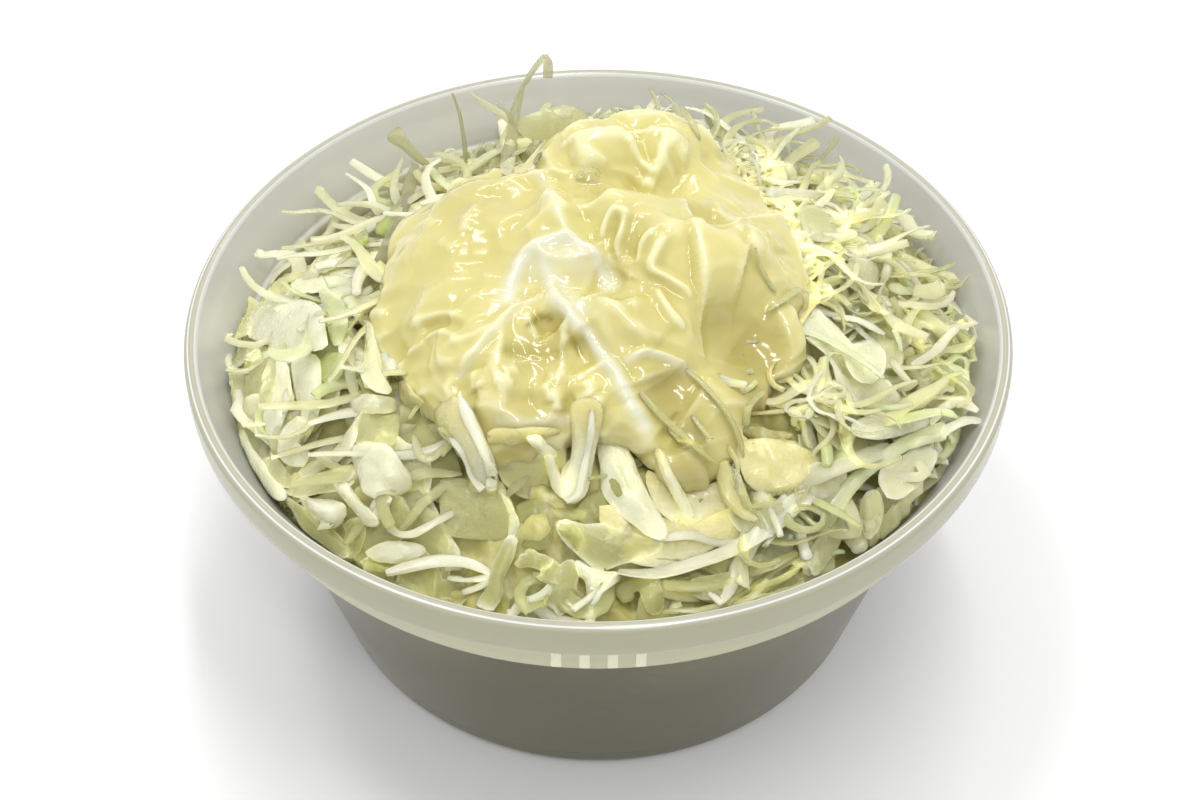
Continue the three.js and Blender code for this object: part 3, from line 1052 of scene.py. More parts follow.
def makeCore():
    shape = mergedCopy("cabbage", "cabbageCore")
    points = pointsOf(shape)
    radius = np.hypot(points[:, 0], points[:, 1])
    side = (radius > insideRadius(points[:, 2]) - 0.8) & (points[:, 2] < ledgeLevel + 0.6)
    upper = (points[:, 2] > ledgeLevel + 0.7)
    out = np.where(side, (radius + 0.3 + core["intoWall"]) / np.maximum(radius, 1e-6), 1)
    points[:, :2] *= out[:, None]
    drop = core["drop"] + core["front"] * np.clip((-15 - points[upper, 1]) / 10, 0, 1)
    points[upper, 2] -= drop * np.clip((points[upper, 2] - ledgeLevel) / 4, 0, 1)
    low = points[:, 2] > ledgeLevel - 4
    points[low, 2] -= hollow(points[low, 0], points[low, 1])
    movePoints(shape, heldInside(points, core["intoWall"]))
    applied(shape, "SUBSURF", levels=2, render_levels=2, subdivision_type="SIMPLE")
    points = pointsOf(shape)
    radius = np.hypot(points[:, 0], points[:, 1])
    inside = np.clip((insideRadius(points[:, 2]) - radius - 0.5) / 3, 0, 1)
    inside *= np.clip((points[:, 2] - 8) / 8, 0, 1)
    waves = smoothNoise(points, core["size"], 3) + 0.6 * smoothNoise(points, core["size"] / 2, 4)
    moved = points + normalsOf(shape) * (waves * core["relief"] * inside)[:, None]
    movePoints(shape, heldInside(moved, core["intoWall"]))
    smooth(shape)
    return shape


def coreMaterial():
    material, tree, shader = newMaterial("heapInside")
    place, _, y, _ = placeAxes(tree)
    patch = noise(tree, place, 130, 3.0, 0.6)
    threads = noise(tree, place, 420, 3.0)
    # painted shade: the core is darker and more olive towards the front, where the gaps lie deep
    shadeInFront = rising(tree, y, (-12, -30), 1)
    pale = blend(tree, shadeInFront, srgb(232, 228, 176), srgb(206, 199, 126))
    deep = blend(tree, shadeInFront, srgb(222, 217, 152), srgb(180, 173, 94))
    colour = blend(tree, remap(tree, patch, 0.38, 0.62, 0, 1), pale, deep)
    colour = blend(tree, remap(tree, threads, 0.5, 0.68, 0, 0.5), colour, srgb(236, 232, 184))
    link(tree, colour, shader.inputs["Base Color"])
    link(tree, remap(tree, threads, 0.3, 0.7, 0.5, 0.3), shader.inputs["Roughness"])
    bumped(tree, shader, threads, 0.3, 0.15)
    scattered(shader, 0.6, (1.0, 0.9, 0.35), 2.5)
    return material


cabbageCore = makeCore()
cabbageCore.data.materials.append(coreMaterial())
rides(cabbageCore, "cabbage", "cabbage")
print("core made")


dressing = {
    "coarse": 0.8,  # grain of its first and its last surface, in mm
    "fine": 0.36,
    "calm": 10,  # rounds of smoothing for each of them
    "calmFine": 8,
    "calmest": 120,  # rounds where it lies smooth
    "deeper": 2.6,  # how far its underside goes into the heap
    "ridges": ((12, 5, 0.6), (6, 8, 0.2)),  # stirred ridges: size, seed and height
    "uneven": (2.6, 6, 0.06),  # and small unevenness
}
lineSteps = 40  # points along a rope, a fold or a mark of the dressing

folds = {  # width, height (negative in a valley) and line of each fold
    "backLineLow": (0.7, 0.8, (562, 152), (580, 146), (606, 144), (630, 150)),
    "backLineTop": (0.7, 0.8, (585, 128), (612, 121), (640, 119), (668, 125)),
    "ribbonSide": (0.9, -0.5, (556, 284), (572, 303), (590, 325), (607, 350), (626, 371), (640, 398)),
    "ribbonRidge": (0.9, 0.7, (542, 256), (548, 280), (560, 304), (580, 325), (597, 351), (616, 371),
        (630, 399), (646, 426)),
    "eggLump": (6, 2.2, (690, 262), (715, 262), (745, 268)),
    "frontMass": (6, 1.6, (480, 385), (520, 390), (570, 395)),
    "leftLow": (5, 0.8, (420, 300), (440, 335), (440, 375)),
    "leftTop": (7, 0.9, (420, 235), (450, 225), (480, 215)),
    "topValley": (3.2, -1, (490, 184), (514, 203), (530, 222)),
    "whiteRidge": (1.7, 1, (534, 171), (545, 186), (556, 210), (566, 226), (575, 242)),
    "pillowEdge": (0.9, 0.7, (547, 150), (551, 164), (560, 176), (575, 178)),
    "pillow": (4, 1.6, (570, 160), (600, 150), (650, 150), (690, 165)),
    "backFold": (2.2, 1.5, (560, 141), (590, 131), (626, 126), (660, 126), (700, 142), (720, 165)),
    "backLine": (0.8, 0.9, (600, 137), (625, 139), (650, 141), (677, 140)),
    "backHollow": (1.6, -0.6, (596, 158), (606, 150), (640, 134), (664, 134)),
    "creaseLeft": (0.6, 1, (603, 140), (618, 148), (634, 158), (646, 169), (654, 178)),
    "creaseRight": (0.6, 0.9, (672, 141), (664, 153), (658, 167), (653, 179)),
    "creaseFloor": (1.5, -0.9, (632, 145), (645, 152), (651, 165)),
    "underCrease": (0.9, 0.5, (605, 172), (632, 178), (655, 196)),
    "creaseBlob": (1.4, 0.7, (643, 182), (655, 186)),
    "rightRecess": (3.2, -1, (668, 168), (690, 160), (714, 162)),
    "orangeRecess": (3, -2, (690, 208), (706, 210), (726, 214)),
    "besideEgg": (2.6, -1.2, (716, 226), (726, 236), (745, 248)),
    "centreValley": (2.2, -1, (584, 205), (586, 225), (592, 245)),
    "archLeft": (0.6, 1, (601, 240), (604, 226), (611, 214), (619, 207)),
    "archRight": (0.7, 1.1, (619, 207), (625, 217), (621, 234), (618, 248), (622, 262)),
    "archInside": (1.3, -0.5, (611, 226), (610, 242), (612, 256)),
    "besideArch": (2.4, -0.9, (634, 215), (632, 240), (630, 262)),
    "smallRidge": (0.6, 0.9, (656, 229), (646, 238), (640, 250), (639, 264)),
    "eggRim": (0.8, 1.2, (666, 232), (658, 247), (652, 262), (654, 271), (668, 280), (682, 290),
        (694, 303)),
    "eggTop": (1.6, 0.7, (664, 236), (680, 231), (700, 232), (730, 243), (760, 256)),
    "eggShadow": (4.5, -1.5, (700, 318), (740, 325), (785, 318)),
    "eggShadowDeep": (4.5, -1, (740, 335), (765, 355), (775, 378)),
    "midRidge": (0.7, 1, (654, 288), (663, 306), (674, 320), (684, 331)),
    "midSlope": (3.5, 0.9, (625, 300), (640, 325), (660, 345)),
    "slopeFold": (1, 0.7, (596, 300), (612, 310), (630, 330), (650, 345)),
    "highArc": (0.6, 1, (628, 359), (642, 354), (658, 355), (674, 362), (692, 374)),
    "arcPocket": (4.6, -1.9, (660, 372), (672, 394), (692, 408)),
    "arcPocketLow": (3.6, -1.2, (668, 420), (684, 436), (690, 450)),
    "pocketFloor": (2.6, -1.2, (590, 280), (610, 285), (622, 270)),
    "foldOne": (0.7, 0.7, (412, 330), (426, 321), (443, 316), (456, 318), (468, 322)),
    "foldOneUnder": (1.3, -0.7, (424, 330), (445, 325), (464, 330)),
    "foldTwo": (0.7, 0.6, (430, 342), (440, 336), (450, 335), (463, 341)),
    "foldThree": (0.8, 0.5, (408, 355), (424, 350), (432, 345)),
    "leftDip": (2.6, -0.9, (385, 335), (392, 355), (398, 368)),
    "thinLine": (0.6, 0.7, (540, 296), (520, 308), (500, 326), (482, 344), (469, 362), (459, 376)),
    "besideThinLine": (0.7, 0.5, (512, 311), (494, 324), (478, 336), (462, 342), (448, 352)),
    "curlArch": (0.9, 0.8, (508, 298), (516, 272), (530, 250), (548, 240), (574, 239), (596, 256),
        (610, 286)),
    "curlHollow": (2.4, -0.7, (520, 300), (530, 285), (545, 290)),
    "pocket": (2, -3, (532, 322), (545, 318), (556, 328)),
    "brownRecess": (3.6, -2, (500, 352), (530, 352), (562, 350)),
    "yellowRecess": (2.6, -2.2, (570, 335), (582, 350), (592, 368)),
    "dripRidge": (1.1, 0.9, (460, 374), (453, 386), (456, 398), (466, 412), (474, 428)),
    "bumpOne": (1.3, 1.1, (478, 370), (480, 380), (483, 392)),
    "bumpTwo": (1.1, 1, (504, 373), (518, 367)),
    "bumpThree": (1.2, 1, (498, 386), (512, 381)),
    "bumpFour": (1.5, 1, (545, 374), (560, 377), (572, 370)),
    "bumpFive": (1, 1, (540, 384), (546, 394), (549, 403)),
    "bumpSix": (1, 1, (555, 390), (559, 400), (559, 410)),
    "bumpSeven": (1, 0.8, (586, 378), (592, 388), (596, 394)),
    "frontLedge": (1, 1.2, (576, 402), (590, 397), (608, 404)),
    "frontCrease": (1.4, -0.7, (505, 398), (520, 400), (535, 398)),
    "lowerLip": (1.6, 0.9, (500, 420), (530, 424), (565, 420), (590, 418)),
    "rightTongue": (3, 1.2, (655, 480), (685, 480), (708, 470)),
    "leftTongue": (3, 0.8, (630, 400), (640, 430), (650, 455)),
    "yellowBit": (2.4, 1, (742, 246), (764, 240), (778, 256)),
    "leftBackEdge": (1.2, 0.6, (425, 186), (448, 184), (470, 184)),
    "glint": (1, 0.45, (484, 206), (473, 220), (468, 236)),
    "glintTwo": (1.2, 0.4, (428, 226), (440, 230)),
    "glintThree": (1.1, 0.4, (440, 244), (456, 252)),
    "leftGlint": (1, 0.6, (368, 320), (378, 314), (388, 316)),
    "leftRim": (1.6, 0.5, (380, 300), (395, 288), (415, 282)),
}

ropes = {  # thick rounded folds that hang over: radius and line
    "rightShoulder": (3.6, (742, 312, -2.2), (770, 328, -1.8), (780, 352, -1.8), (760, 380, -2)),
    "rightFoot": (3.4, (742, 456, -2.4), (766, 464, -2), (796, 466, -2.4)),
}
smoothSpots = {  # where the dressing is smooth: place and size in mm
    "leftSlope": (440, 240, 12), "lobe": (708, 268, 11), "lobeLow": (730, 310, 9),
    "tongue": (690, 450, 8), "shoulder": (765, 345, 7),
}


def treeFrom(obj):
    faces = [list(face.vertices) for face in obj.data.polygons]
    return BVHTree.FromPolygons([Vector(point) for point in pointsOf(obj)], faces)


def rope(name, look, tree):
    # a round length of dressing: radius and line
    along = np.linspace(0, 1, lineSteps)
    radius = look[0] * np.sqrt(np.clip(1 - np.abs(2 * along - 1) ** 4, 0.02, 1))
    strand = {
        "path": alongView(look[1:], lineSteps, tree), "roll": np.zeros(lineSteps), "halfWidth": radius,
        "halfThick": radius, "tint": 0, "green": 0, "coat": 1, "curl": 0, "ripple": 0, "waves": 0,
    }
    return swept(name, [strand], "rope")


def folded(points, fold, tree):
    # how far each point is pushed by one fold: width, height and line
    width, height, *line = fold
    line = alongView(line, lineSteps, tree, 2)
    near = ((points > line.min(axis=0) - 3 * width) & (points < line.max(axis=0) + 3 * width)).all(axis=1)
    near = np.flatnonzero(near)
    apart = ((points[near, None] - line[None]) ** 2).sum(axis=2)
    share = apart.argmin(axis=1) / (lineSteps - 1)
    fade = np.sin(np.clip(np.minimum(share, 1 - share) * 4, 0.12, 1) * math.pi / 2)
    push = np.zeros(len(points))
    push[near] = height * fade * np.exp(-apart.min(axis=1) / width**2)
    return push


def bulgeOf(obj, passes):
    # how far each point stands out from what is round it, in mm
    before, normals = pointsOf(obj), normalsOf(obj)
    applied(obj, "SMOOTH", factor=0.5, iterations=passes)
    after = pointsOf(obj)
    movePoints(obj, before)
    return ((before - after) * normals).sum(axis=1)


films = {  # pale strands that show through: width, strength and line
    "greyArc": (0.5, 0.7, *folds["highArc"][2:]),
    "ribbonTop": (1.8, 0.7, (548, 268), (562, 290), (578, 310)),
    "arch": (1.3, 1, *folds["curlArch"][2:]),
    "insideArch": (2.2, 0.6, (534, 266), (550, 256), (568, 256), (584, 266)),
    "ribbon": (1, 1, *folds["ribbonRidge"][2:]),
    "thinLine": (0.4, 0.6, *folds["thinLine"][2:]),
    "whiteRidge": (0.7, 0.4, *folds["whiteRidge"][2:]),
    "frontEdge": (0.8, 0.5, *folds["lowerLip"][2:]),
}


def alongLines(points, lines, tree):
    # how near each point lies to one of the lines, as a strength
    near = np.zeros(len(points))
    for width, strength, *line in lines:
        path = alongView(line, lineSteps, tree, 2)
        some = ((points > path.min(axis=0) - 4) & (points < path.max(axis=0) + 4)).all(axis=1)
        apart = ((points[some, None] - path[None]) ** 2).sum(axis=2).min(axis=1)
        near[some] = np.maximum(near[some], strength * np.exp(-apart / width**2))
    return near


shadedHoles = {  # painted shade in the olive gaps between the folds, in the same way
    "top": (0.55, 1, (533, 322), (541, 317), (550, 318)),
    "topLeft": (0.4, 0.8, (528, 325), (534, 321), (540, 320)),
    "right": (0.5, 0.7, (569, 332), (574, 342), (580, 354)),
    "recess": (1, 0.4, (508, 352), (530, 354), (560, 352)),
}
shadeSpots = {  # where painted shade darkens it: place, size in mm, strength
    "leftSlope": (435, 265, 12, 0.14),
    "topLeft": (468, 205, 9, 0.24),
    "middle": (628, 300, 6, 0.26),
    "flank": (752, 350, 5.5, 0.9),
    "flankLow": (765, 400, 5, 0.8),
    "underEgg": (720, 332, 4.2, 0.6),
    "arcPocket": (670, 390, 4.2, 0.85),
    "pocketRight": (684, 432, 3, 0.8),
    "tongue": (690, 472, 5, 0.75),
    "pocket": (546, 320, 2, 0.9),
    "recess": (532, 352, 3.5, 0.5),
    "underFront": (520, 440, 4.5, 0.9),
    "underFlap": (630, 450, 4, 0.5),
    "besideArch": (632, 232, 3, 0.35),
    "backRight": (705, 205, 3, 0.5),
    "backMiddle": (600, 195, 4, 0.3),
}


def makeDressing():
    body = mergedCopy("dressing", "dressingBody")
    applied(body, "REMESH", mode="VOXEL", voxel_size=dressing["coarse"] * mm)
    applied(body, "SMOOTH", factor=0.5, iterations=dressing["calm"])
    pieces = [rope(name, look, topTree) for name, look in ropes.items()]
    body = joined([body] + pieces, "dressingBody")
    applied(body, "REMESH", mode="VOXEL", voxel_size=dressing["fine"] * mm)
    applied(body, "SMOOTH", factor=0.5, iterations=dressing["calmFine"])
    points, normals = pointsOf(body), normalsOf(body)
    under = np.clip((-normals[:, 2] - 0.3) / 0.4, 0, 1)
    inner = np.clip((readMap(nearDressing, points[:, 0], points[:, 1]) - 0.75) / 0.25, 0, 1)
    points[:, 2] -= dressing["deeper"] * under * inner
    movePoints(body, points)
    spots = [(spotAt(u, v), size) for u, v, size in smoothSpots.values()]
    calm = [np.exp(-((points - spot) ** 2).sum(axis=1) / size**2) for spot, size in spots]
    calmness = np.max(calm, axis=0)
    applied(body, "SMOOTH", factor=0.5, iterations=dressing["calmest"])
    points += (pointsOf(body) - points) * calmness[:, None]
    movePoints(body, points)
    normals = normalsOf(body)
    tree = treeFrom(body)
    push = sum(folded(points, fold, tree) for fold in folds.values())
    stirred = 1 - 0.85 * calmness
    ridges = sum(
        (1 - np.abs(smoothNoise(points, size, seed))) ** 2 * height
        for size, seed, height in dressing["ridges"]
    )
    size, seed, height = dressing["uneven"]
    waves = ridges * stirred * np.clip(normals[:, 2] + 0.4, 0, 1) + smoothNoise(points, size, seed) * height
    movePoints(body, points + normals * (push + waves)[:, None])
    applied(body, "SMOOTH", factor=0.4, iterations=2)
    smooth(body)
    points = pointsOf(body)
    # painted shade: how far each point is darkened by the shade spots
    thick = np.zeros(len(points))
    for u, v, size, strength in shadeSpots.values():
        apart = ((points - spotAt(u, v)) ** 2).sum(axis=1)
        thick = np.maximum(thick, strength * np.exp(-apart / size**2))
    # how far each place stands out, which the material turns into painted highlight on bulges and painted
    # shade in hollows
    out = np.clip(0.5 + 1.4 * bulgeOf(body, 40), 0, 1)
    tree = treeFrom(body)
    marks = [alongLines(points, lines.values(), tree) for lines in (films, shadedHoles)]
    look = np.stack([out, thick, *marks], 1)
    body.data.color_attributes.new("look", "FLOAT_COLOR", "POINT").data.foreach_set("color", look.ravel())
    print("dressing", len(body.data.polygons) * 2, "triangles")
    return body


def dressingMaterial():
    material, tree, shader = newMaterial("eggDressing")
    place = placeAxes(tree)[0]
    cloud = noise(tree, place, 90, 3.0)
    look = addNode(tree, "ShaderNodeAttribute", attribute_name="look")
    parts = addNode(tree, "ShaderNodeSeparateColor")
    link(tree, look.outputs["Color"], parts.inputs[0])
    # the look holds how far a place stands out, painted shade spots, pale strands under the dressing, and,
    # as alpha, painted shade in the holes
    out, thick, film = parts.outputs
    colour = blend(tree, remap(tree, cloud, 0.35, 0.65, 0, 1), srgb(221, 212, 142), srgb(216, 206, 131))
    # hollows painted darker, as shade and as thicker dressing
    colour = blend(tree, remap(tree, out, 0.5, 0.1, 0, 0.9), colour, srgb(208, 196, 116))
    # bulges painted pale, as highlight and as thinner dressing over strands
    colour = blend(tree, remap(tree, out, 0.56, 0.9, 0, 0.85), colour, srgb(245, 240, 192))
    # painted shade where the shade spots lie
    colour = blend(tree, thick, colour, srgb(166, 152, 74))
    colour = blend(tree, film, colour, srgb(226, 225, 200))
    # painted shade in the olive holes
    colour = blend(tree, look.outputs["Alpha"], colour, srgb(150, 136, 40))
    link(tree, colour, shader.inputs["Base Color"])
    link(tree, remap(tree, cloud, 0.3, 0.7, 0.12, 0.2), shader.inputs["Roughness"])
    bumped(tree, shader, noise(tree, place, 700, 2.0), 0.2, 0.06)
    scattered(shader, 0.15, (1.0, 0.85, 0.4), 1.0)
    setSockets(shader, {"IOR": 1.45, "Coat Weight": 0.5, "Coat Roughness": 0.06})
    return material


dressingBody = makeDressing()
dressingBody.data.materials.append(dressingMaterial())
rides(dressingBody, "dressing", "dressing")


coverMap = surveyed(treeFrom(dressingBody))
dressingTop = np.where(coverMap > noGround, coverMap - 2.6, 999)
gridAcross, gridDown = np.meshgrid(mapAxis, mapAxis)
pile = Pile(
    heapMap - core["under"] - hollow(gridAcross, gridDown),
    np.minimum(heapMap - hollow(gridAcross, gridDown), dressingTop),
)
pockets = {  # where the heap stays open: place in the view, size and depth in mm
    "underDressing": (525, 475, 6.5, 5),
    "leftOfFlap": (425, 425, 4.5, 3),
    "underLeaf": (475, 545, 6, 3.5),
    "frontRight": (635, 598, 5, 3.5),
    "besideTongue": (555, 515, 5.5, 4),
    "underSlit": (625, 500, 6, 3.5),
    "overRibbon": (690, 500, 6, 3.5),
    "rightOfTail": (700, 520, 5, 2),
    "farRight": (852, 512, 3, 2.5),
    "yellowHole": (775, 378, 3.5, 2),
}
for u, v, size, depth in pockets.values():
    x, y = spotAt(u, v, 0, heapTree)[:2]
    apart = ((gridAcross - x) ** 2 + (gridDown - y) ** 2) / size**2
    pile.limit = pile.limit - depth * np.exp(-apart)
shredRandom = np.random.default_rng(21)

# what is laid, with lengths, widths and thicknesses in mm, and the zones it lies in as
# (share, angle round the cup, its spread, nearest and farthest radius)
strips = {
    "count": 290, "steps": 16, "length": (14, 34), "width": (1.1, 2.3), "thick": (0.4, 0.65), "bundle": 3,
    "bend": 0.035, "wave": 0.5, "stiff": 2.5, "pack": 0.3, "pitch": 3, "lift": 0.25, "roll": 0.25,
    "twist": 0.8, "taper": 0.4, "uneven": 0.16, "curl": 0.15, "ripple": 0.1, "over": -1.3,
    "zones": [
        (1, 222, 75, 20, 54), (0.6, 270, 60, 28, 54), (0.25, 10, 60, 24, 54), (0.45, 134, 34, 30, 53),
    ],
}
chunks = {
    "count": 130, "length": (9, 18), "width": (5, 10), "thick": (0.4, 0.6),
    "outline": {2: 0.17, 3: 0.16, 5: 0.12, 8: 0.07},
    "crumple": (0.4, 0.9), "fold": 3.6, "curl": 0.8, "pitch": 7, "over": -0.9, "lies": 50,
    "zones": [(4, 203, 22, 34, 54), (3, 250, 26, 34, 54), (1.2, 310, 22, 36, 54), (0.4, 10, 40, 30, 54)],
}
ribs = {
    "count": 14, "steps": 14, "length": (8, 16), "width": (2.0, 3.4), "thick": (0.9, 1.4), "bundle": 2,
    "bend": 0.06, "wave": 0.5, "stiff": 3.5, "pack": 0.3, "pitch": 6, "lift": 0.5, "roll": 0.6,
    "twist": 1.0, "taper": 0.4, "uneven": 0.2, "curl": 0.1, "ripple": 0.1, "over": -0.5, "coat": 0.6,
    "zones": [(3, 205, 24, 36, 53)],
}
ribbons = {
    "count": 150, "steps": 22, "length": (14, 34), "width": (1.3, 2.7), "thick": (0.35, 0.5), "bundle": 3,
    "bend": 0.05, "wave": 0.6, "stiff": 3.5, "pack": 0.4, "pitch": 5, "lift": 0.5, "roll": 0.35,
    "twist": 1.3, "taper": 0.35, "uneven": 0.25, "curl": 0.25, "ripple": 0.12, "over": -0.1,
    "zones": [
        (2.2, 262, 30, 36, 54), (0.6, 195, 25, 34, 54), (1.6, 325, 24, 34, 54), (0.5, 20, 40, 30, 54),
        (0.5, 125, 40, 34, 50),
    ],
}
curled = {
    "count": 560, "steps": 20, "length": (12, 30), "width": (0.9, 1.5), "thick": (0.35, 0.5), "bundle": 5,
    "bend": 0.07, "wave": 0.75, "stiff": 1.8, "pack": 0.3, "pitch": 2, "lift": 0.15, "roll": 0.35,
    "twist": 1.2, "taper": 0.3, "uneven": 0.2, "curl": 0.15, "ripple": 0.1, "over": 0.2, "fork": 0.3,
    "zones": [(5, 2, 26, 28, 55), (1.5, 42, 18, 34, 50), (0.8, 310, 18, 34, 55)],
}
threads = {
    "count": 90, "steps": 20, "length": (12, 24), "width": (0.7, 1.0), "thick": (0.4, 0.5), "bundle": 3,
    "bend": 0.08, "wave": 0.9, "stiff": 2.0, "pack": 0.35, "pitch": 3, "lift": 0.4, "roll": 0.5,
    "twist": 1.3, "taper": 0.5, "uneven": 0.15, "ripple": 0.1, "over": 0.5, "fork": 0.3,
    "zones": [(4, 0, 26, 36, 55), (1.8, 42, 22, 36, 52), (0.6, 310, 18, 38, 55)],
}
laid = {"strip": layStrands(pile, strips, shredRandom)}
chunked = layChunks(pile, chunks, shredRandom)
laid["rib"] = layStrands(pile, ribs, shredRandom)
laid["ribbon"] = layStrands(pile, ribbons, shredRandom)
laid["strip"] += layStrands(pile, curled, shredRandom)
laid["thread"] = layStrands(pile, threads, shredRandom)

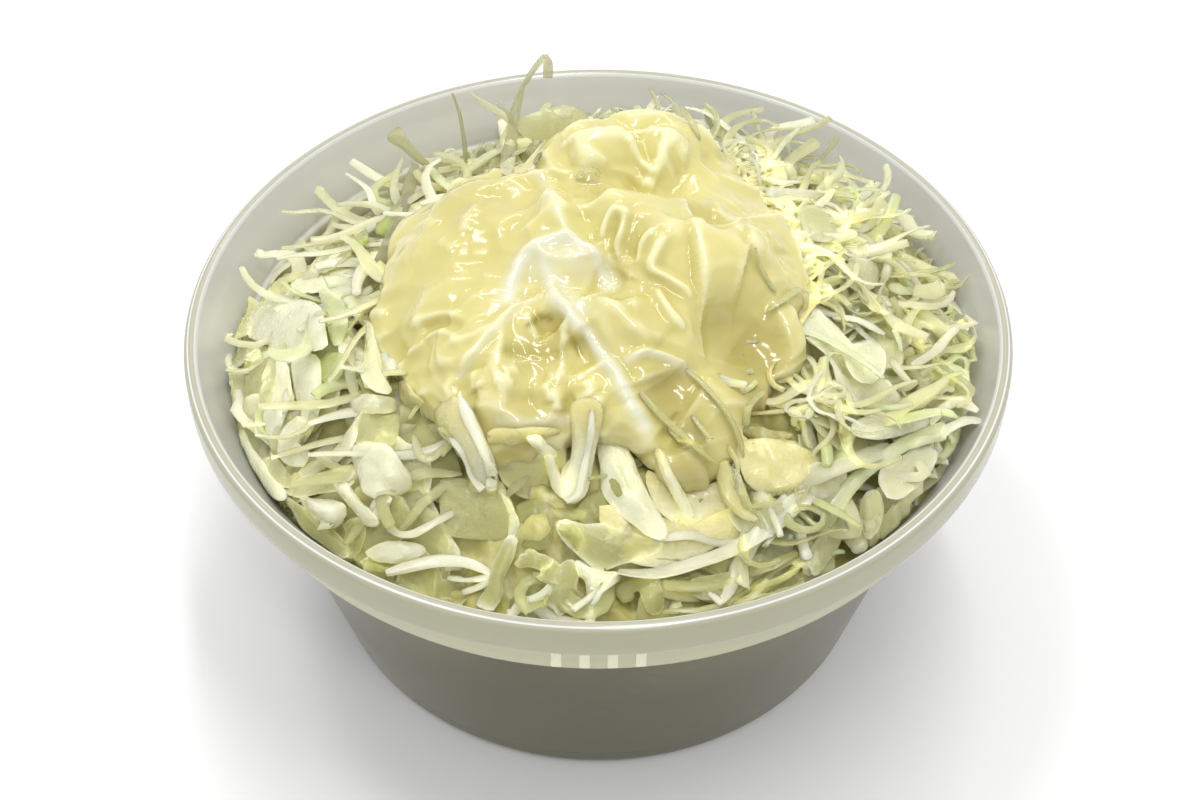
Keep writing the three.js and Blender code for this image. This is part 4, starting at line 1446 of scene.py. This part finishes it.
# single pieces, along lines of the view as (across, down, lift over what lies there)
# a tint over 1 paints a piece in shade, as grey, dim or olive
shown = {
    "frothB": dict(kind="thread", width=0.8, tint=0.4, line=[(452, 166), (462, 154), (470, 152),
        (476, 164)]),
    "frothA": dict(kind="thread", width=0.8, tint=0.3, line=[(440, 164), (446, 152), (454, 150),
        (460, 160)]),
    # a dark thread painted as the shade inside the slit of slitStrip
    "slit": dict(kind="thread", width=1.1, tint=3, ends=(0.5, 0.5), line=[(612, 479, 2), (615, 486, 2.2),
        (620, 496, 2.1)]),
    "tallRoot": dict(kind="ribbon", width=2.4, tint=2.2, line=[(500, 176), (506, 156), (511, 138),
        (514, 122)]),
    "flapRim": dict(kind="rib", width=1, tint=0, coat=0.3, thick=0.7, ends=(0.5, 0.6),
        line=[(592, 410, 1), (590, 440, 1.7), (584, 468, 1.9), (578, 494, 1.7), (566, 502, 1.5)]),
    "dripRidgeLeft": dict(kind="rib", width=1.2, tint=0, coat=0.3, thick=0.7, ends=(0.5, 0.9),
        line=[(450, 434, 0.8), (460, 448, 1.3), (469, 466, 1.6), (476, 482, 1.6), (483, 490, 1.5)]),
    "dripRidgeRight": dict(kind="rib", width=1.5, tint=0, coat=0.35, thick=0.9, ends=(0.6, 0.9),
        line=[(460, 398, 0.8), (468, 416, 1.2), (477, 434, 1.6), (486, 456, 1.8), (492, 474, 1.8),
        (491, 487, 1.5)]),
    "tallTip": dict(kind="ribbon", width=1.9, tint=2.5, thick=0.7, ends=(1.2, 0.9), line=[(506, 172),
        (511, 140), (514, 116), (520, 94), (532, 72, 1), (544, 57, 1), (548, 62, 1), (548, 78, 1)]),
    "tallBranch": dict(kind="thread", width=0.9, tint=2.4, line=[(514, 128), (507, 112), (497, 103)]),
    "thinUp": dict(kind="thread", width=0.7, tint=2.9, line=[(466, 165), (464, 140), (459, 112),
        (452, 93)]),
    "backShred": dict(kind="ribbon", width=1.3, tint=1.4, line=[(490, 174), (498, 154), (507, 134),
        (514, 120)]),
    "ringStrand": dict(kind="strip", width=1.1, tint=0.25, line=[(262, 298), (276, 274), (300, 257),
        (322, 240), (340, 216), (360, 199), (388, 192)]),
    "leftBand": dict(kind="ribbon", width=2.2, tint=2.5, green=0.4, line=[(416, 164, 0.5),
        (408, 190, 0.8), (398, 222, 0.8), (384, 258, 0.6), (366, 296, 0.3)]),
    "paleLeft": dict(kind="ribbon", width=2.2, tint=0.4, line=[(384, 240), (368, 268), (352, 292),
        (338, 320)]),
    "leftThinA": dict(kind="strip", width=1.2, tint=0.6, green=0.6, line=[(372, 205), (364, 235),
        (352, 262), (342, 285)]),
    "leftThinB": dict(kind="strip", width=1.3, tint=0.4, line=[(360, 212), (350, 240), (340, 262),
        (322, 282)]),
    "leftThinC": dict(kind="ribbon", width=2.2, tint=0.5, line=[(345, 225), (330, 250), (318, 268),
        (296, 284)]),
    "hangLeftB": dict(kind="strip", width=1.3, tint=0.4, line=[(352, 345), (350, 372), (356, 398)]),
    "branchB": dict(kind="rib", width=1.4, tint=0.15, line=[(386, 496, 0.5), (376, 506, 0.8),
        (372, 518, 0.5)]),
    "crossStrand": dict(kind="thread", width=1.1, tint=0.2, line=[(380, 512, 0.8), (394, 531, 1),
        (412, 534, 1), (436, 522, 1), (462, 508, 0.5)]),
    "diagStrip": dict(kind="strip", width=1.5, tint=0.5, line=[(400, 532, 0.5), (418, 508, 0.8),
        (434, 494, 0.8), (452, 478, 0.3)]),
    "lowLeftA": dict(kind="strip", width=1.7, tint=0.5, line=[(340, 515, 0.2), (350, 535, 0.3),
        (346, 556)]),
    "yellowStrand": dict(kind="strip", width=1.7, tint=0.05, thick=0.9, line=[(386, 573, 0.6),
        (412, 566, 1), (440, 561, 1), (468, 563, 1), (492, 574, 0.5)]),
    "yellowEndA": dict(kind="strip", width=1.2, tint=0.15, line=[(448, 578, 0.6), (470, 580, 0.7),
        (494, 576, 0.4)]),
    "yellowEndB": dict(kind="strip", width=1.2, tint=0.15, line=[(462, 593, 0.6), (480, 586, 0.6),
        (500, 574, 0.3)]),
    "thinCross": dict(kind="strip", width=1.3, tint=0.6, line=[(502, 500, 0.6), (520, 482, 1),
        (542, 458, 0.6)]),
    "longRibbon": dict(kind="ribbon", width=2.3, tint=0.1, line=[(618, 572, 0.8), (656, 574, 1),
        (700, 562, 1.1), (740, 546, 1.1), (772, 524, 1), (800, 500, 0.8), (832, 490, 0.5)]),
    "longUpper": dict(kind="strip", width=1.3, tint=0.1, line=[(656, 540, 0.8), (690, 535, 1),
        (722, 543, 1), (752, 540, 0.8)]),
    "underRibbon": dict(kind="ribbon", width=2.4, tint=0.8, line=[(664, 584, 0.3), (706, 584, 0.6),
        (750, 572, 0.6), (796, 552, 0.3)]),
    "underRibbonB": dict(kind="ribbon", width=2.4, tint=0.7, line=[(620, 600), (640, 585, 0.3),
        (700, 598)]),
    "rightLong": dict(kind="strip", width=2, tint=0.2, green=0.7, line=[(822, 536, 0.6), (838, 502, 1),
        (858, 478, 1.2), (886, 456, 1.2), (914, 438, 1), (944, 424, 0.5)]),
    "rightLongB": dict(kind="ribbon", width=2.6, tint=0.3, line=[(786, 490, 0.5), (816, 474, 1),
        (852, 462, 1), (890, 446, 0.6)]),
    "coatedRibbon": dict(kind="rib", width=2.2, tint=0.3, coat=0.9, line=[(724, 462, 0.6), (728, 488, 1),
        (738, 508, 1), (760, 520, 0.5)]),
    "frontRightA": dict(kind="strip", width=1.7, tint=0.3, green=0.5, line=[(806, 575, 0.3),
        (816, 552, 0.6), (830, 530, 0.6), (836, 512, 0.4)]),
    "frontRightB": dict(kind="rib", width=1.6, tint=0.1, line=[(800, 532, 0.5), (804, 548, 0.7),
        (808, 560, 0.4)]),
    "frontRightC": dict(kind="strip", width=1.7, tint=0.4, line=[(862, 498, 0.6), (870, 522, 0.8),
        (872, 544, 0.4)]),
    "frontRightD": dict(kind="ribbon", width=2.4, tint=0.3, line=[(842, 522, 0.4), (856, 540, 0.7),
        (862, 552, 0.3)]),
    "frontRightE": dict(kind="ribbon", width=2.2, tint=0.5, green=0.4, line=[(784, 512, 0.6),
        (806, 506, 0.9), (826, 516, 0.8), (834, 540, 0.4)]),
    "pokeA": dict(kind="strip", width=1.3, tint=0.1, line=[(912, 366, 0.8), (934, 352, 2), (948, 336, 3),
        (958, 326, 4)]),
    "pokeB": dict(kind="strip", width=1.3, tint=0.1, line=[(922, 402, 0.5), (936, 394, 1.5),
        (946, 388, 2), (954, 391, 2)]),
    "pokeC": dict(kind="strip", width=1.4, tint=0.05, line=[(930, 424, 0.5), (944, 408, 2), (960, 402, 3),
        (978, 411, 3.5)]),
    "pokeD": dict(kind="strip", width=1.6, tint=0.1, line=[(932, 440, 0.5), (954, 426, 2), (970, 420, 3),
        (984, 423, 3.5)]),
    "pokeE": dict(kind="strip", width=1.3, tint=0.2, line=[(902, 448, 0.5), (924, 440, 1.2),
        (946, 436, 1.5)]),
    "arcB": dict(kind="strip", width=1.2, tint=0.1, line=[(834, 318, 0.6), (858, 320, 0.9),
        (884, 334, 0.6)]),
    "arcC": dict(kind="strip", width=1.4, tint=0.3, green=0.5, line=[(880, 306, 0.5), (894, 328, 0.9),
        (902, 352, 0.6)]),
    "arcD": dict(kind="strip", width=1.3, tint=0.3, green=0.5, line=[(902, 334, 0.6), (914, 312, 0.9),
        (928, 298, 0.9)]),
    "edgeA": dict(kind="strip", width=1.3, tint=0.2, line=[(830, 178, 0.5), (842, 204, 0.9),
        (846, 232, 0.5)]),
    "edgeB": dict(kind="strip", width=1.3, tint=0.3, line=[(866, 202, 0.5), (878, 236, 0.9),
        (888, 262, 0.9), (882, 284, 0.4)]),
    "edgeC": dict(kind="ribbon", width=2.2, tint=0.3, green=0.7, line=[(890, 285, 0.5), (910, 290, 0.9),
        (936, 284, 1)]),
    "backPokeA": dict(kind="thread", width=0.9, tint=1.4, line=[(700, 140), (694, 126, 0.5),
        (686, 112, 1)]),
    "backPokeB": dict(kind="thread", width=1, tint=1.4, line=[(722, 152), (714, 132, 0.5),
        (705, 111, 1)]),
    "backPokeC": dict(kind="thread", width=0.9, tint=0.3, line=[(798, 170), (790, 156, 0.5),
        (787, 138, 1)]),
    "backPokeD": dict(kind="thread", width=1.1, tint=1.5, line=[(800, 178), (816, 164, 0.5),
        (830, 148, 1), (838, 136, 1)]),
    "backRowA": dict(kind="strip", width=1.2, tint=0.1, line=[(764, 178, 0.4), (780, 182, 0.9),
        (806, 182, 0.9), (834, 186, 0.5)]),
    "backRowB": dict(kind="ribbon", width=2, tint=0.2, line=[(766, 192, 0.4), (782, 194, 0.8),
        (812, 198, 0.8), (840, 206, 0.4)]),
    "hook": dict(kind="thread", width=1, tint=1.6, coat=0.3, line=[(766, 312, 0.5), (784, 299, 1),
        (799, 289, 1.2), (806, 296, 1), (805, 310, 0.6)]),
    "thinDark": dict(kind="thread", width=0.7, tint=1.8, line=[(755, 248, 1.2), (759, 262, 0.6),
        (767, 278, 0.4), (776, 292, 0.2)]),
    "greyTip": dict(kind="ribbon", width=1.2, tint=1.7, line=[(576, 178, 0.4), (585, 172, 1),
        (594, 170, 1.2), (600, 176, 1)]),
    "greyStrand": dict(kind="strip", width=1.3, tint=1.3, coat=0.15, thick=0.6, ends=(0.3, 0.8),
        line=[(682, 366, -0.2), (700, 381, 0.4), (714, 396, 0.7), (728, 414, 0.9), (738, 434, 0.9),
        (744, 456, 0.8), (748, 474, 0.5)]),
    "greyBranch": dict(kind="thread", width=1.2, tint=1.4, line=[(746, 426, 0.8), (748, 408, 0.9),
        (764, 391, 0.7)]),
    "greyAcross": dict(kind="ribbon", width=1.6, tint=1.1, coat=0.6, line=[(744, 430, 0.7),
        (764, 434, 0.8), (792, 436, 0.5)]),
    "straight": dict(kind="strip", width=1, tint=1.1, coat=0.2, thick=0.6, ends=(0.7, 0.9),
        line=[(640, 392, 0.2), (658, 412, 0.8), (680, 432, 1.2), (700, 450, 1.2), (718, 464, 0.9)]),
    "midCurl": dict(kind="strip", width=1.2, tint=0.4, line=[(414, 436, 0.4), (420, 456, 0.8),
        (432, 458, 0.8), (444, 446, 0.4)]),
    "midAcross": dict(kind="ribbon", width=2.2, tint=0.5, line=[(410, 476, 0.4), (430, 472, 0.6),
        (462, 474, 0.3)]),
}
shownKinds = {
    "thread": {"steps": 26, "thick": 0.5, "curl": 0},
    "strip": {"steps": 28, "thick": 0.55, "curl": 0.15},
    "rib": {"steps": 30, "thick": 1.3, "curl": 0},
    "ribbon": {"steps": 30, "thick": 0.4, "curl": 0.3},
}


def topTreeOf(pile, body):
    # all there is so far: the pile's height map and the dressing
    count = len(mapAxis)
    grid = [Vector(point) for point in np.stack([gridAcross, gridDown, pile.top], -1).reshape(-1, 3)]
    inside = (np.hypot(gridAcross, gridDown) < 54)[:-1, :-1].ravel()
    first = (np.arange(count - 1)[:, None] * count + np.arange(count - 1)[None]).ravel()[inside]
    faces = np.stack([first, first + 1, first + count + 1, first + count], 1).tolist()
    faces += [[i + len(grid) for i in face.vertices] for face in body.data.polygons]
    return BVHTree.FromPolygons(grid + [Vector(point) for point in pointsOf(body)], faces)


def layShown(look, tree, rng):
    kind = shownKinds[look["kind"]]
    steps = kind["steps"]
    path = alongView(look["line"], steps, tree, 5)
    along = np.linspace(0, 1, steps)
    first, last = look.get("ends", (0.55, 0.55))
    shape = np.interp(along, [0, 0.18, 0.82, 1], [first, 1, 1, last])
    uneven = 1 + 0.1 * np.sin(along * rng.uniform(6, 14) + rng.uniform(0, 6.28))
    thick = look.get("thick", kind["thick"])
    return {
        "path": path,
        "roll": rng.normal(0, 0.25) + rng.normal(0, 0.5) * (along - 0.5),
        "halfWidth": look["width"] / 2 * shape * uneven,
        "halfThick": thick / 2 * np.sqrt(shape),
        "tint": look.get("tint", 0.5),
        "green": look.get("green", 0.1),
        "coat": look.get("coat", 0),
        "curl": rng.normal(0, 0.6) * kind["curl"],
        "ripple": 0.08,
        "waves": rng.uniform(4, 9),
    }


soFarTree = topTreeOf(pile, dressingBody)
for look in shown.values():
    laid[look["kind"]].append(layShown(look, soFarTree, shredRandom))
print("laid", len(shown), "single pieces")

sheets = {  # pieces of leaf by their outlines in the view
    # a tint over 1 paints a piece in shade, as wideShadow is
    "apronLow": dict(tint=1.5, green=0.6, lift=0.1, crumple=0.4, over=50, rim=[(516, 506), (540, 500),
        (562, 512), (556, 530), (548, 548), (524, 548), (514, 528)]),
    "apronLeft": dict(tint=0.5, lift=0.2, coat=0.7, crumple=0.4, over=50, rim=[(488, 432), (520, 428),
        (560, 430), (566, 460), (552, 486), (530, 500), (508, 488), (494, 462)]),
    "apronFar": dict(tint=0.1, lift=0.5, coat=0.8, coatTo=0.5, crumple=0.5, fold=4, over=60, ragged=0.005,
        rim=[(648, 470), (690, 490), (720, 480), (742, 486), (738, 508), (712, 522), (690, 526),
        (664, 516), (650, 494)]),
    "apronRight": dict(tint=0.1, lift=0.2, coat=0.9, coatTo=0.6, crumple=0.5, fold=4, over=60,
        ragged=0.005, rim=[(600, 506), (632, 508), (668, 512), (700, 520), (735, 505), (760, 512),
        (752, 535), (715, 547), (690, 562), (655, 567), (625, 560), (606, 540)]),
    "flapMiddle": dict(tint=0.05, lift=1.4, coat=0.4, coatTo=0, crumple=0.2, rim=[(566, 462), (578, 456),
        (586, 470), (582, 492), (572, 500), (560, 498), (556, 486), (560, 474)]),
    "leftFlake": dict(tint=0.05, lift=1.4, thick=0.9, rim=[(246, 318), (258, 306), (280, 300), (304, 299),
        (318, 306), (326, 324), (327, 344), (316, 352), (300, 350), (286, 356), (274, 348), (258, 341),
        (246, 334)]),
    "outerFold": dict(tint=0.1, lift=1.4, thick=0.8, crumple=0.4, rim=[(292, 356), (308, 352), (320, 362),
        (321, 388), (320, 410), (314, 428), (304, 442), (298, 432), (300, 412), (295, 396), (292, 376)]),
    "innerFold": dict(tint=0.1, lift=1.2, thick=0.8, crumple=0.4, rim=[(276, 360), (286, 360), (291, 380),
        (290, 402), (284, 420), (276, 440), (264, 438), (262, 418), (268, 400), (275, 382)]),
    "lowFold": dict(tint=0.05, lift=2, thick=0.8, crumple=0.5, rim=[(284, 426), (296, 416), (308, 417),
        (308, 430), (300, 444), (310, 452), (304, 466), (290, 466), (278, 456), (278, 440)]),
    "leftSheet": dict(tint=0.8, lift=0.6, rim=[(262, 384), (276, 376), (290, 384), (294, 400), (286, 414),
        (270, 412), (260, 400)]),
    "greySheet": dict(tint=1.4, lift=0.3, over=50, rim=[(246, 350), (256, 344), (270, 350), (271, 370),
        (264, 392), (252, 402), (244, 385)]),
    "flakeUp": dict(green=0.5, rim=[(318, 286), (330, 290), (342, 300), (348, 318), (344, 338),
        (334, 346), (328, 330), (322, 306)]),
    "flakeLow": dict(tint=0.6, green=0.7, rim=[(320, 360), (332, 352), (346, 356), (342, 374), (330, 384),
        (320, 378)]),
    "backGlint": dict(tint=0.3, rim=[(322, 284), (336, 280), (352, 278), (360, 284), (348, 296),
        (334, 298)]),
    "greenLeaf": dict(tint=0.6, green=1.4, rim=[(382, 200), (394, 196), (402, 202), (396, 220),
        (386, 236), (376, 232), (378, 214)]),
    "greenLow": dict(tint=0.8, green=0.9, rim=[(352, 232), (364, 226), (368, 240), (360, 254),
        (350, 248)]),
    "filmBack": dict(tint=1.3, green=0.3, over=60, rim=[(318, 250), (338, 236), (354, 230), (352, 252),
        (336, 268), (318, 272)]),
    "midLeft": dict(tint=0.35, lift=1, thick=0.8, rim=[(294, 478), (306, 464), (324, 456), (338, 444),
        (350, 430), (360, 414), (357, 436), (350, 450), (338, 462), (322, 470), (308, 478)]),
    "midLow": dict(rim=[(284, 490), (306, 482), (330, 478), (348, 474), (354, 482), (342, 490),
        (318, 494), (298, 498)]),
    "greyGreen": dict(tint=1.2, lift=0.9, rim=[(360, 412), (380, 414), (398, 415), (399, 430), (392, 446),
        (376, 448), (358, 444), (352, 436)]),
    "knob": dict(tint=0.1, lift=2, thick=1.8, crumple=0.6, rim=[(352, 446), (368, 442), (388, 445),
        (398, 456), (406, 468), (413, 480), (410, 490), (400, 496), (386, 495), (372, 499), (361, 488),
        (358, 474), (350, 460)]),
    "whiteRib": dict(tint=0.15, lift=1.4, thick=0.8, coat=0.3, rim=[(350, 402), (364, 394), (380, 395),
        (394, 399), (397, 410), (380, 414), (362, 413), (350, 411)]),
    "hangLeft": dict(tint=0.5, lift=2.2, coat=0.3, rim=[(362, 320), (371, 322), (376, 340), (381, 358),
        (384, 376), (392, 390), (380, 394), (366, 386), (360, 372), (364, 352), (364, 336)]),
    "blob": dict(tint=-0.1, lift=2.2, thick=2.4, crumple=0.4, rim=[(300, 498), (316, 498), (334, 500),
        (346, 506), (345, 518), (336, 528), (322, 524), (308, 512)]),
    "branchA": dict(tint=0.05, lift=1.6, thick=1.4, rim=[(330, 482), (342, 478), (352, 488), (362, 502),
        (374, 512), (380, 524), (368, 527), (354, 512), (342, 498)]),
    "branchB": dict(tint=0.1, lift=1.4, thick=1, rim=[(374, 504), (384, 494), (392, 500), (384, 512),
        (376, 522), (370, 514)]),
    "wallChunkA": dict(tint=0, lift=1.2, thick=0.8, rim=[(234, 436), (244, 430), (252, 446), (264, 462),
        (276, 480), (288, 494), (280, 502), (264, 492), (250, 474), (240, 456)]),
    "wallChunkB": dict(tint=0.5, rim=[(262, 460), (276, 458), (288, 472), (298, 484), (284, 488),
        (268, 478)]),
    "lowLeft": dict(tint=0.6, rim=[(286, 498), (302, 506), (322, 520), (340, 536), (352, 552), (342, 558),
        (322, 544), (302, 528)]),
    "lowLeftB": dict(tint=0.8, green=0.4, rim=[(346, 522), (360, 518), (366, 532), (360, 552), (348, 558),
        (342, 540)]),
    "ellipse": dict(tint=0.1, lift=1.2, thick=1, rim=[(366, 552), (380, 543), (400, 541), (422, 545),
        (424, 554), (406, 563), (384, 563), (372, 560)]),
    "frontLeaf": dict(tint=0.95, lift=1.2, crumple=0.25, ragged=0.005, rim=[(440, 480), (460, 478),
        (482, 480), (500, 480), (508, 494), (514, 508), (519, 526), (510, 538), (490, 540), (468, 539),
        (450, 536), (442, 526), (439, 500)]),
    "frontEdge": dict(tint=0.3, lift=1.5, thick=0.5, rim=[(498, 486), (506, 492), (514, 508), (520, 524),
        (517, 536), (508, 540), (510, 522), (504, 504)]),
    "frontStrip": dict(tint=0.5, lift=1.3, rim=[(508, 536), (518, 540), (513, 560), (504, 578),
        (503, 594), (494, 610), (476, 606), (484, 590), (490, 572), (498, 552)]),
    "leafPiece": dict(tint=0.5, lift=1.5, crumple=0.3, fold=6, ragged=0, coat=0, rim=[(555, 524),
        (566, 519), (584, 524), (604, 523), (628, 530), (648, 538), (664, 541), (658, 552), (640, 560),
        (620, 565), (600, 572), (588, 564), (574, 552), (562, 540)]),
    "leafTop": dict(tint=1.6, lift=1.7, thick=0.5, rim=[(557, 524), (566, 520), (582, 524), (590, 536),
        (588, 548), (578, 552), (568, 542), (560, 534)]),
    "leafTail": dict(tint=0.1, lift=1.4, rim=[(576, 560), (588, 566), (604, 571), (620, 572), (610, 580),
        (600, 584), (592, 600), (586, 596), (585, 582), (576, 574)]),
    "leafTailLow": dict(tint=0.1, lift=1.3, rim=[(616, 572), (622, 578), (608, 590), (598, 604),
        (588, 618), (578, 618), (586, 604), (598, 588), (606, 578)]),
    "slitStrip": dict(tint=0.05, lift=1.7, coat=0.6, coatTo=0, crumple=0.25, ragged=0.015, sunk=1.2,
        rim=[(598, 440), (618, 438), (631, 454), (640, 476), (652, 500), (662, 517), (669, 533),
        (660, 541), (648, 537), (634, 526), (614, 510), (602, 492), (601, 472)]),
    "slitRidge": dict(tint=0, lift=2.4, coat=0, thick=0.8, coatTo=0, rim=[(610, 446), (622, 450),
        (632, 466), (638, 482), (640, 498), (630, 496), (622, 480), (612, 464)]),
    "dripOuter": dict(tint=0.1, lift=1.3, coat=1, coatTo=0.2, thick=0.8, crumple=0.1, ragged=0, sunk=1.2,
        rim=[(434, 410), (450, 396), (466, 400), (478, 420), (486, 440), (494, 458), (498, 478),
        (496, 490), (488, 495), (479, 492), (473, 480), (465, 464), (452, 446), (440, 430)]),
    "flapMain": dict(tint=0.05, lift=1.3, coat=1, coatTo=0, thick=0.7, crumple=0.2, ragged=0.01, sunk=1.2,
        rim=[(572, 402), (588, 398), (601, 402), (602, 424), (597, 446), (593, 466), (588, 490),
        (581, 500), (570, 503), (562, 498), (564, 480), (570, 460), (572, 440), (570, 420)]),
    "flapEdge": dict(tint=0, lift=1.9, coat=0.2, thick=0.8, crumple=0.1, coatTo=0, rim=[(543, 452),
        (552, 450), (556, 462), (562, 476), (566, 490), (562, 498), (553, 490), (548, 476)]),
    "flapArm": dict(tint=0.1, lift=1.2, coat=0.5, coatTo=0, thick=0.7, rim=[(526, 438), (538, 434),
        (548, 444), (558, 453), (554, 464), (546, 462), (536, 450)]),
    "strandEnd": dict(tint=0.05, lift=1.3, coat=0.8, coatTo=0, thick=0.7, ragged=0, sunk=2,
        rim=[(654, 448), (664, 452), (672, 470), (682, 488), (692, 506), (694, 519), (687, 520),
        (678, 506), (668, 488), (658, 468)]),
    "wideShadow": dict(tint=1.5, lift=0.2, over=50, rim=[(584, 500), (600, 490), (612, 506), (604, 522),
        (586, 524), (572, 516)]),
    "thinGrey": dict(tint=1.3, lift=0.6, rim=[(552, 510), (570, 508), (586, 512), (580, 520),
        (562, 520)]),
    "leftDrip": dict(tint=0.3, lift=1, coat=0.7, thick=1.4, rim=[(398, 384), (406, 380), (414, 392),
        (424, 402), (414, 410), (402, 402)]),
    "wedge": dict(tint=2.6, lift=1, over=20, ragged=0, rim=[(387, 140), (392, 130), (400, 127),
        (405, 134), (414, 146), (424, 157), (433, 167), (427, 168), (414, 160), (400, 148)]),
    "backFlap": dict(tint=1.9, over=30, crumple=0.2, rim=[(518, 122), (534, 112), (552, 107), (568, 105),
        (580, 110), (588, 122), (582, 136), (560, 140), (540, 140), (526, 136)]),
    "backWedge": dict(tint=2.6, lift=1.2, over=50, rim=[(526, 146), (534, 139), (543, 139), (540, 154),
        (535, 164), (526, 160)]),
    "backCream": dict(tint=0.3, coat=0.6, rim=[(500, 160), (506, 142), (514, 140), (516, 156), (512, 172),
        (502, 174)]),
    "rightMass": dict(tint=0.1, lift=0.2, coat=1.2, crumple=0.7, over=95, rim=[(736, 446), (760, 438),
        (796, 444), (820, 458), (812, 478), (784, 494), (756, 492), (740, 470)]),
    "rightMassLow": dict(tint=0.5, lift=1, coat=0.4, rim=[(716, 482), (728, 468), (740, 472), (738, 494),
        (746, 508), (764, 508), (782, 500), (796, 508), (782, 526), (764, 540), (742, 534), (726, 514)]),
    "rightBroad": dict(tint=0.6, lift=1, rim=[(800, 470), (824, 462), (846, 468), (842, 490), (830, 508),
        (812, 506), (800, 492)]),
    "rightLeaf": dict(tint=0.5, lift=0.9, rim=[(880, 470), (900, 456), (922, 446), (938, 452), (930, 474),
        (914, 490), (896, 500), (882, 492)]),
    "rightEdge": dict(tint=0.7, green=0.3, lift=0.7, rim=[(862, 498), (876, 490), (884, 506), (880, 528),
        (868, 540), (860, 522)]),
    "rightWide": dict(tint=0.25, lift=0.9, rim=[(852, 424), (874, 414), (900, 412), (926, 414),
        (930, 424), (906, 434), (878, 440), (856, 436)]),
    "rightSheet": dict(tint=0.8, green=0.4, lift=0.5, rim=[(800, 208), (822, 204), (840, 212), (842, 230),
        (828, 242), (808, 236)]),
    "rightSheetB": dict(tint=0.7, green=0.3, lift=0.5, rim=[(848, 262), (866, 258), (878, 268),
        (876, 286), (858, 292), (846, 280)]),
    "rightSheetC": dict(coat=0.4, lift=0.5, rim=[(846, 350), (866, 340), (884, 350), (884, 372),
        (868, 384), (850, 374)]),
    "frontRight": dict(tint=0.6, green=0.4, lift=0.9, rim=[(808, 566), (816, 546), (830, 528), (838, 510),
        (846, 520), (840, 544), (828, 562), (816, 576)]),
    "lowRight": dict(tint=0.7, coat=0.3, rim=[(640, 584), (656, 580), (664, 594), (662, 612), (650, 614),
        (642, 600)]),
    "lowMiddle": dict(tint=0.6, coat=0.3, lift=0.6, ragged=0.1, rim=[(548, 566), (566, 560), (580, 572),
        (574, 586), (584, 600), (562, 614), (546, 602), (552, 588), (538, 578)]),
    "lowMiddleB": dict(tint=0.5, thick=0.5, ragged=0.1, rim=[(518, 556), (530, 550), (548, 556),
        (556, 562), (548, 570), (530, 568), (516, 566)]),
    "lowFront": dict(tint=0.7, green=0.4, coat=0.3, lift=0.6, rim=[(690, 580), (716, 574), (742, 570),
        (752, 580), (736, 594), (712, 600), (694, 596)]),
}
for number, look in enumerate(sheets.values()):
    chunked.append(sheetAt(look, soFarTree, number))
print("laid", len(sheets), "pieces of leaf")

cutFace = {"pale": (228, 227, 203), "deep": (214, 211, 160)}
skins = {
    "strip": {
        **cutFace, "green": (204, 214, 150),
        "fibres": 0.1, "relief": 0.25, "film": (0.55, 0.92), "deepness": 2.0,
    },
    "rib": {
        "pale": (232, 232, 206), "deep": (214, 212, 162), "green": (206, 215, 152),
        "fibres": 0.07, "relief": 0.3, "film": (0.8, 1.0), "deepness": 2.4,
    },
    "ribbon": {
        **cutFace, "green": (202, 213, 148),
        "fibres": 0.08, "relief": 0.2, "film": (0.5, 0.85), "deepness": 2.4,
    },
    "thread": {
        **cutFace, "green": (204, 214, 150),
        "fibres": 0.08, "relief": 0.2, "film": (0.6, 0.9), "deepness": 2.0,
    },
    "sheet": {
        "pale": (235, 235, 208), "deep": (212, 211, 160), "green": (192, 203, 122),
        "fibres": 0.02, "relief": 0.5, "film": (0.45, 0.9), "deepness": 2.4,
    },
}
for kind, strands in laid.items():
    piece = swept("cabbage_" + kind, strands, kind)
    piece.data.materials.append(cabbageMaterial(kind + "Skin", skins[kind]))
    rides(piece, "cabbage")
piece = sheetMesh("cabbage_sheet", chunked)
piece.data.materials.append(cabbageMaterial("sheetSkin", skins["sheet"]))
rides(piece, "cabbage")


def addStage():
    bpy.ops.object.select_all(action="DESELECT")
    bpy.ops.mesh.primitive_plane_add(size=6, location=(0, 0, 0))
    floor = bpy.context.object
    floor.name = "floor"
    material, tree, shader = newMaterial("paleFloor")
    shader.inputs["Base Color"].default_value = (0.94, 0.94, 0.94, 1)
    shader.inputs["Roughness"].default_value = 0.9
    floor.data.materials.append(material)


lamps = {
    "key": {"place": (-0.24, 0.12, 0.8), "size": (0.14, 0.14), "power": 0.95},
    "tube": {"place": (0.08, 0.02, 0.85), "size": (0.5, 0.05), "power": 1.8},
    "backTube": {"place": (0.0, 0.5, 0.6), "size": (0.4, 0.03), "power": 0.6},
    "front": {"place": (0.1, -0.45, 0.8), "size": (0.12, 0.12), "power": 0.72},
}


def addLights():
    for name, lamp in lamps.items():
        place = Vector(lamp["place"])
        turn = (Vector((0, 0, 0.05)) - place).to_track_quat("-Z", "Y").to_euler()
        bpy.ops.object.light_add(type="AREA", location=place, rotation=turn)
        light = bpy.context.object
        light.name = name
        light.data.shape = "RECTANGLE"
        light.data.size, light.data.size_y = lamp["size"]
        light.data.energy = lamp["power"]
    world = bpy.data.worlds.new("studio")
    scene.world = world
    world.use_nodes = True
    tree = world.node_tree
    tree.nodes["Background"].inputs["Color"].default_value = (1, 1, 1, 1)
    tree.nodes["Background"].inputs["Strength"].default_value = 0.77


addStage()
addLights()
scene.view_settings.view_transform = "Standard"
scene.cycles.diffuse_bounces = 8
scene.cycles.transparent_max_bounces = 16
print("stage and lights set")
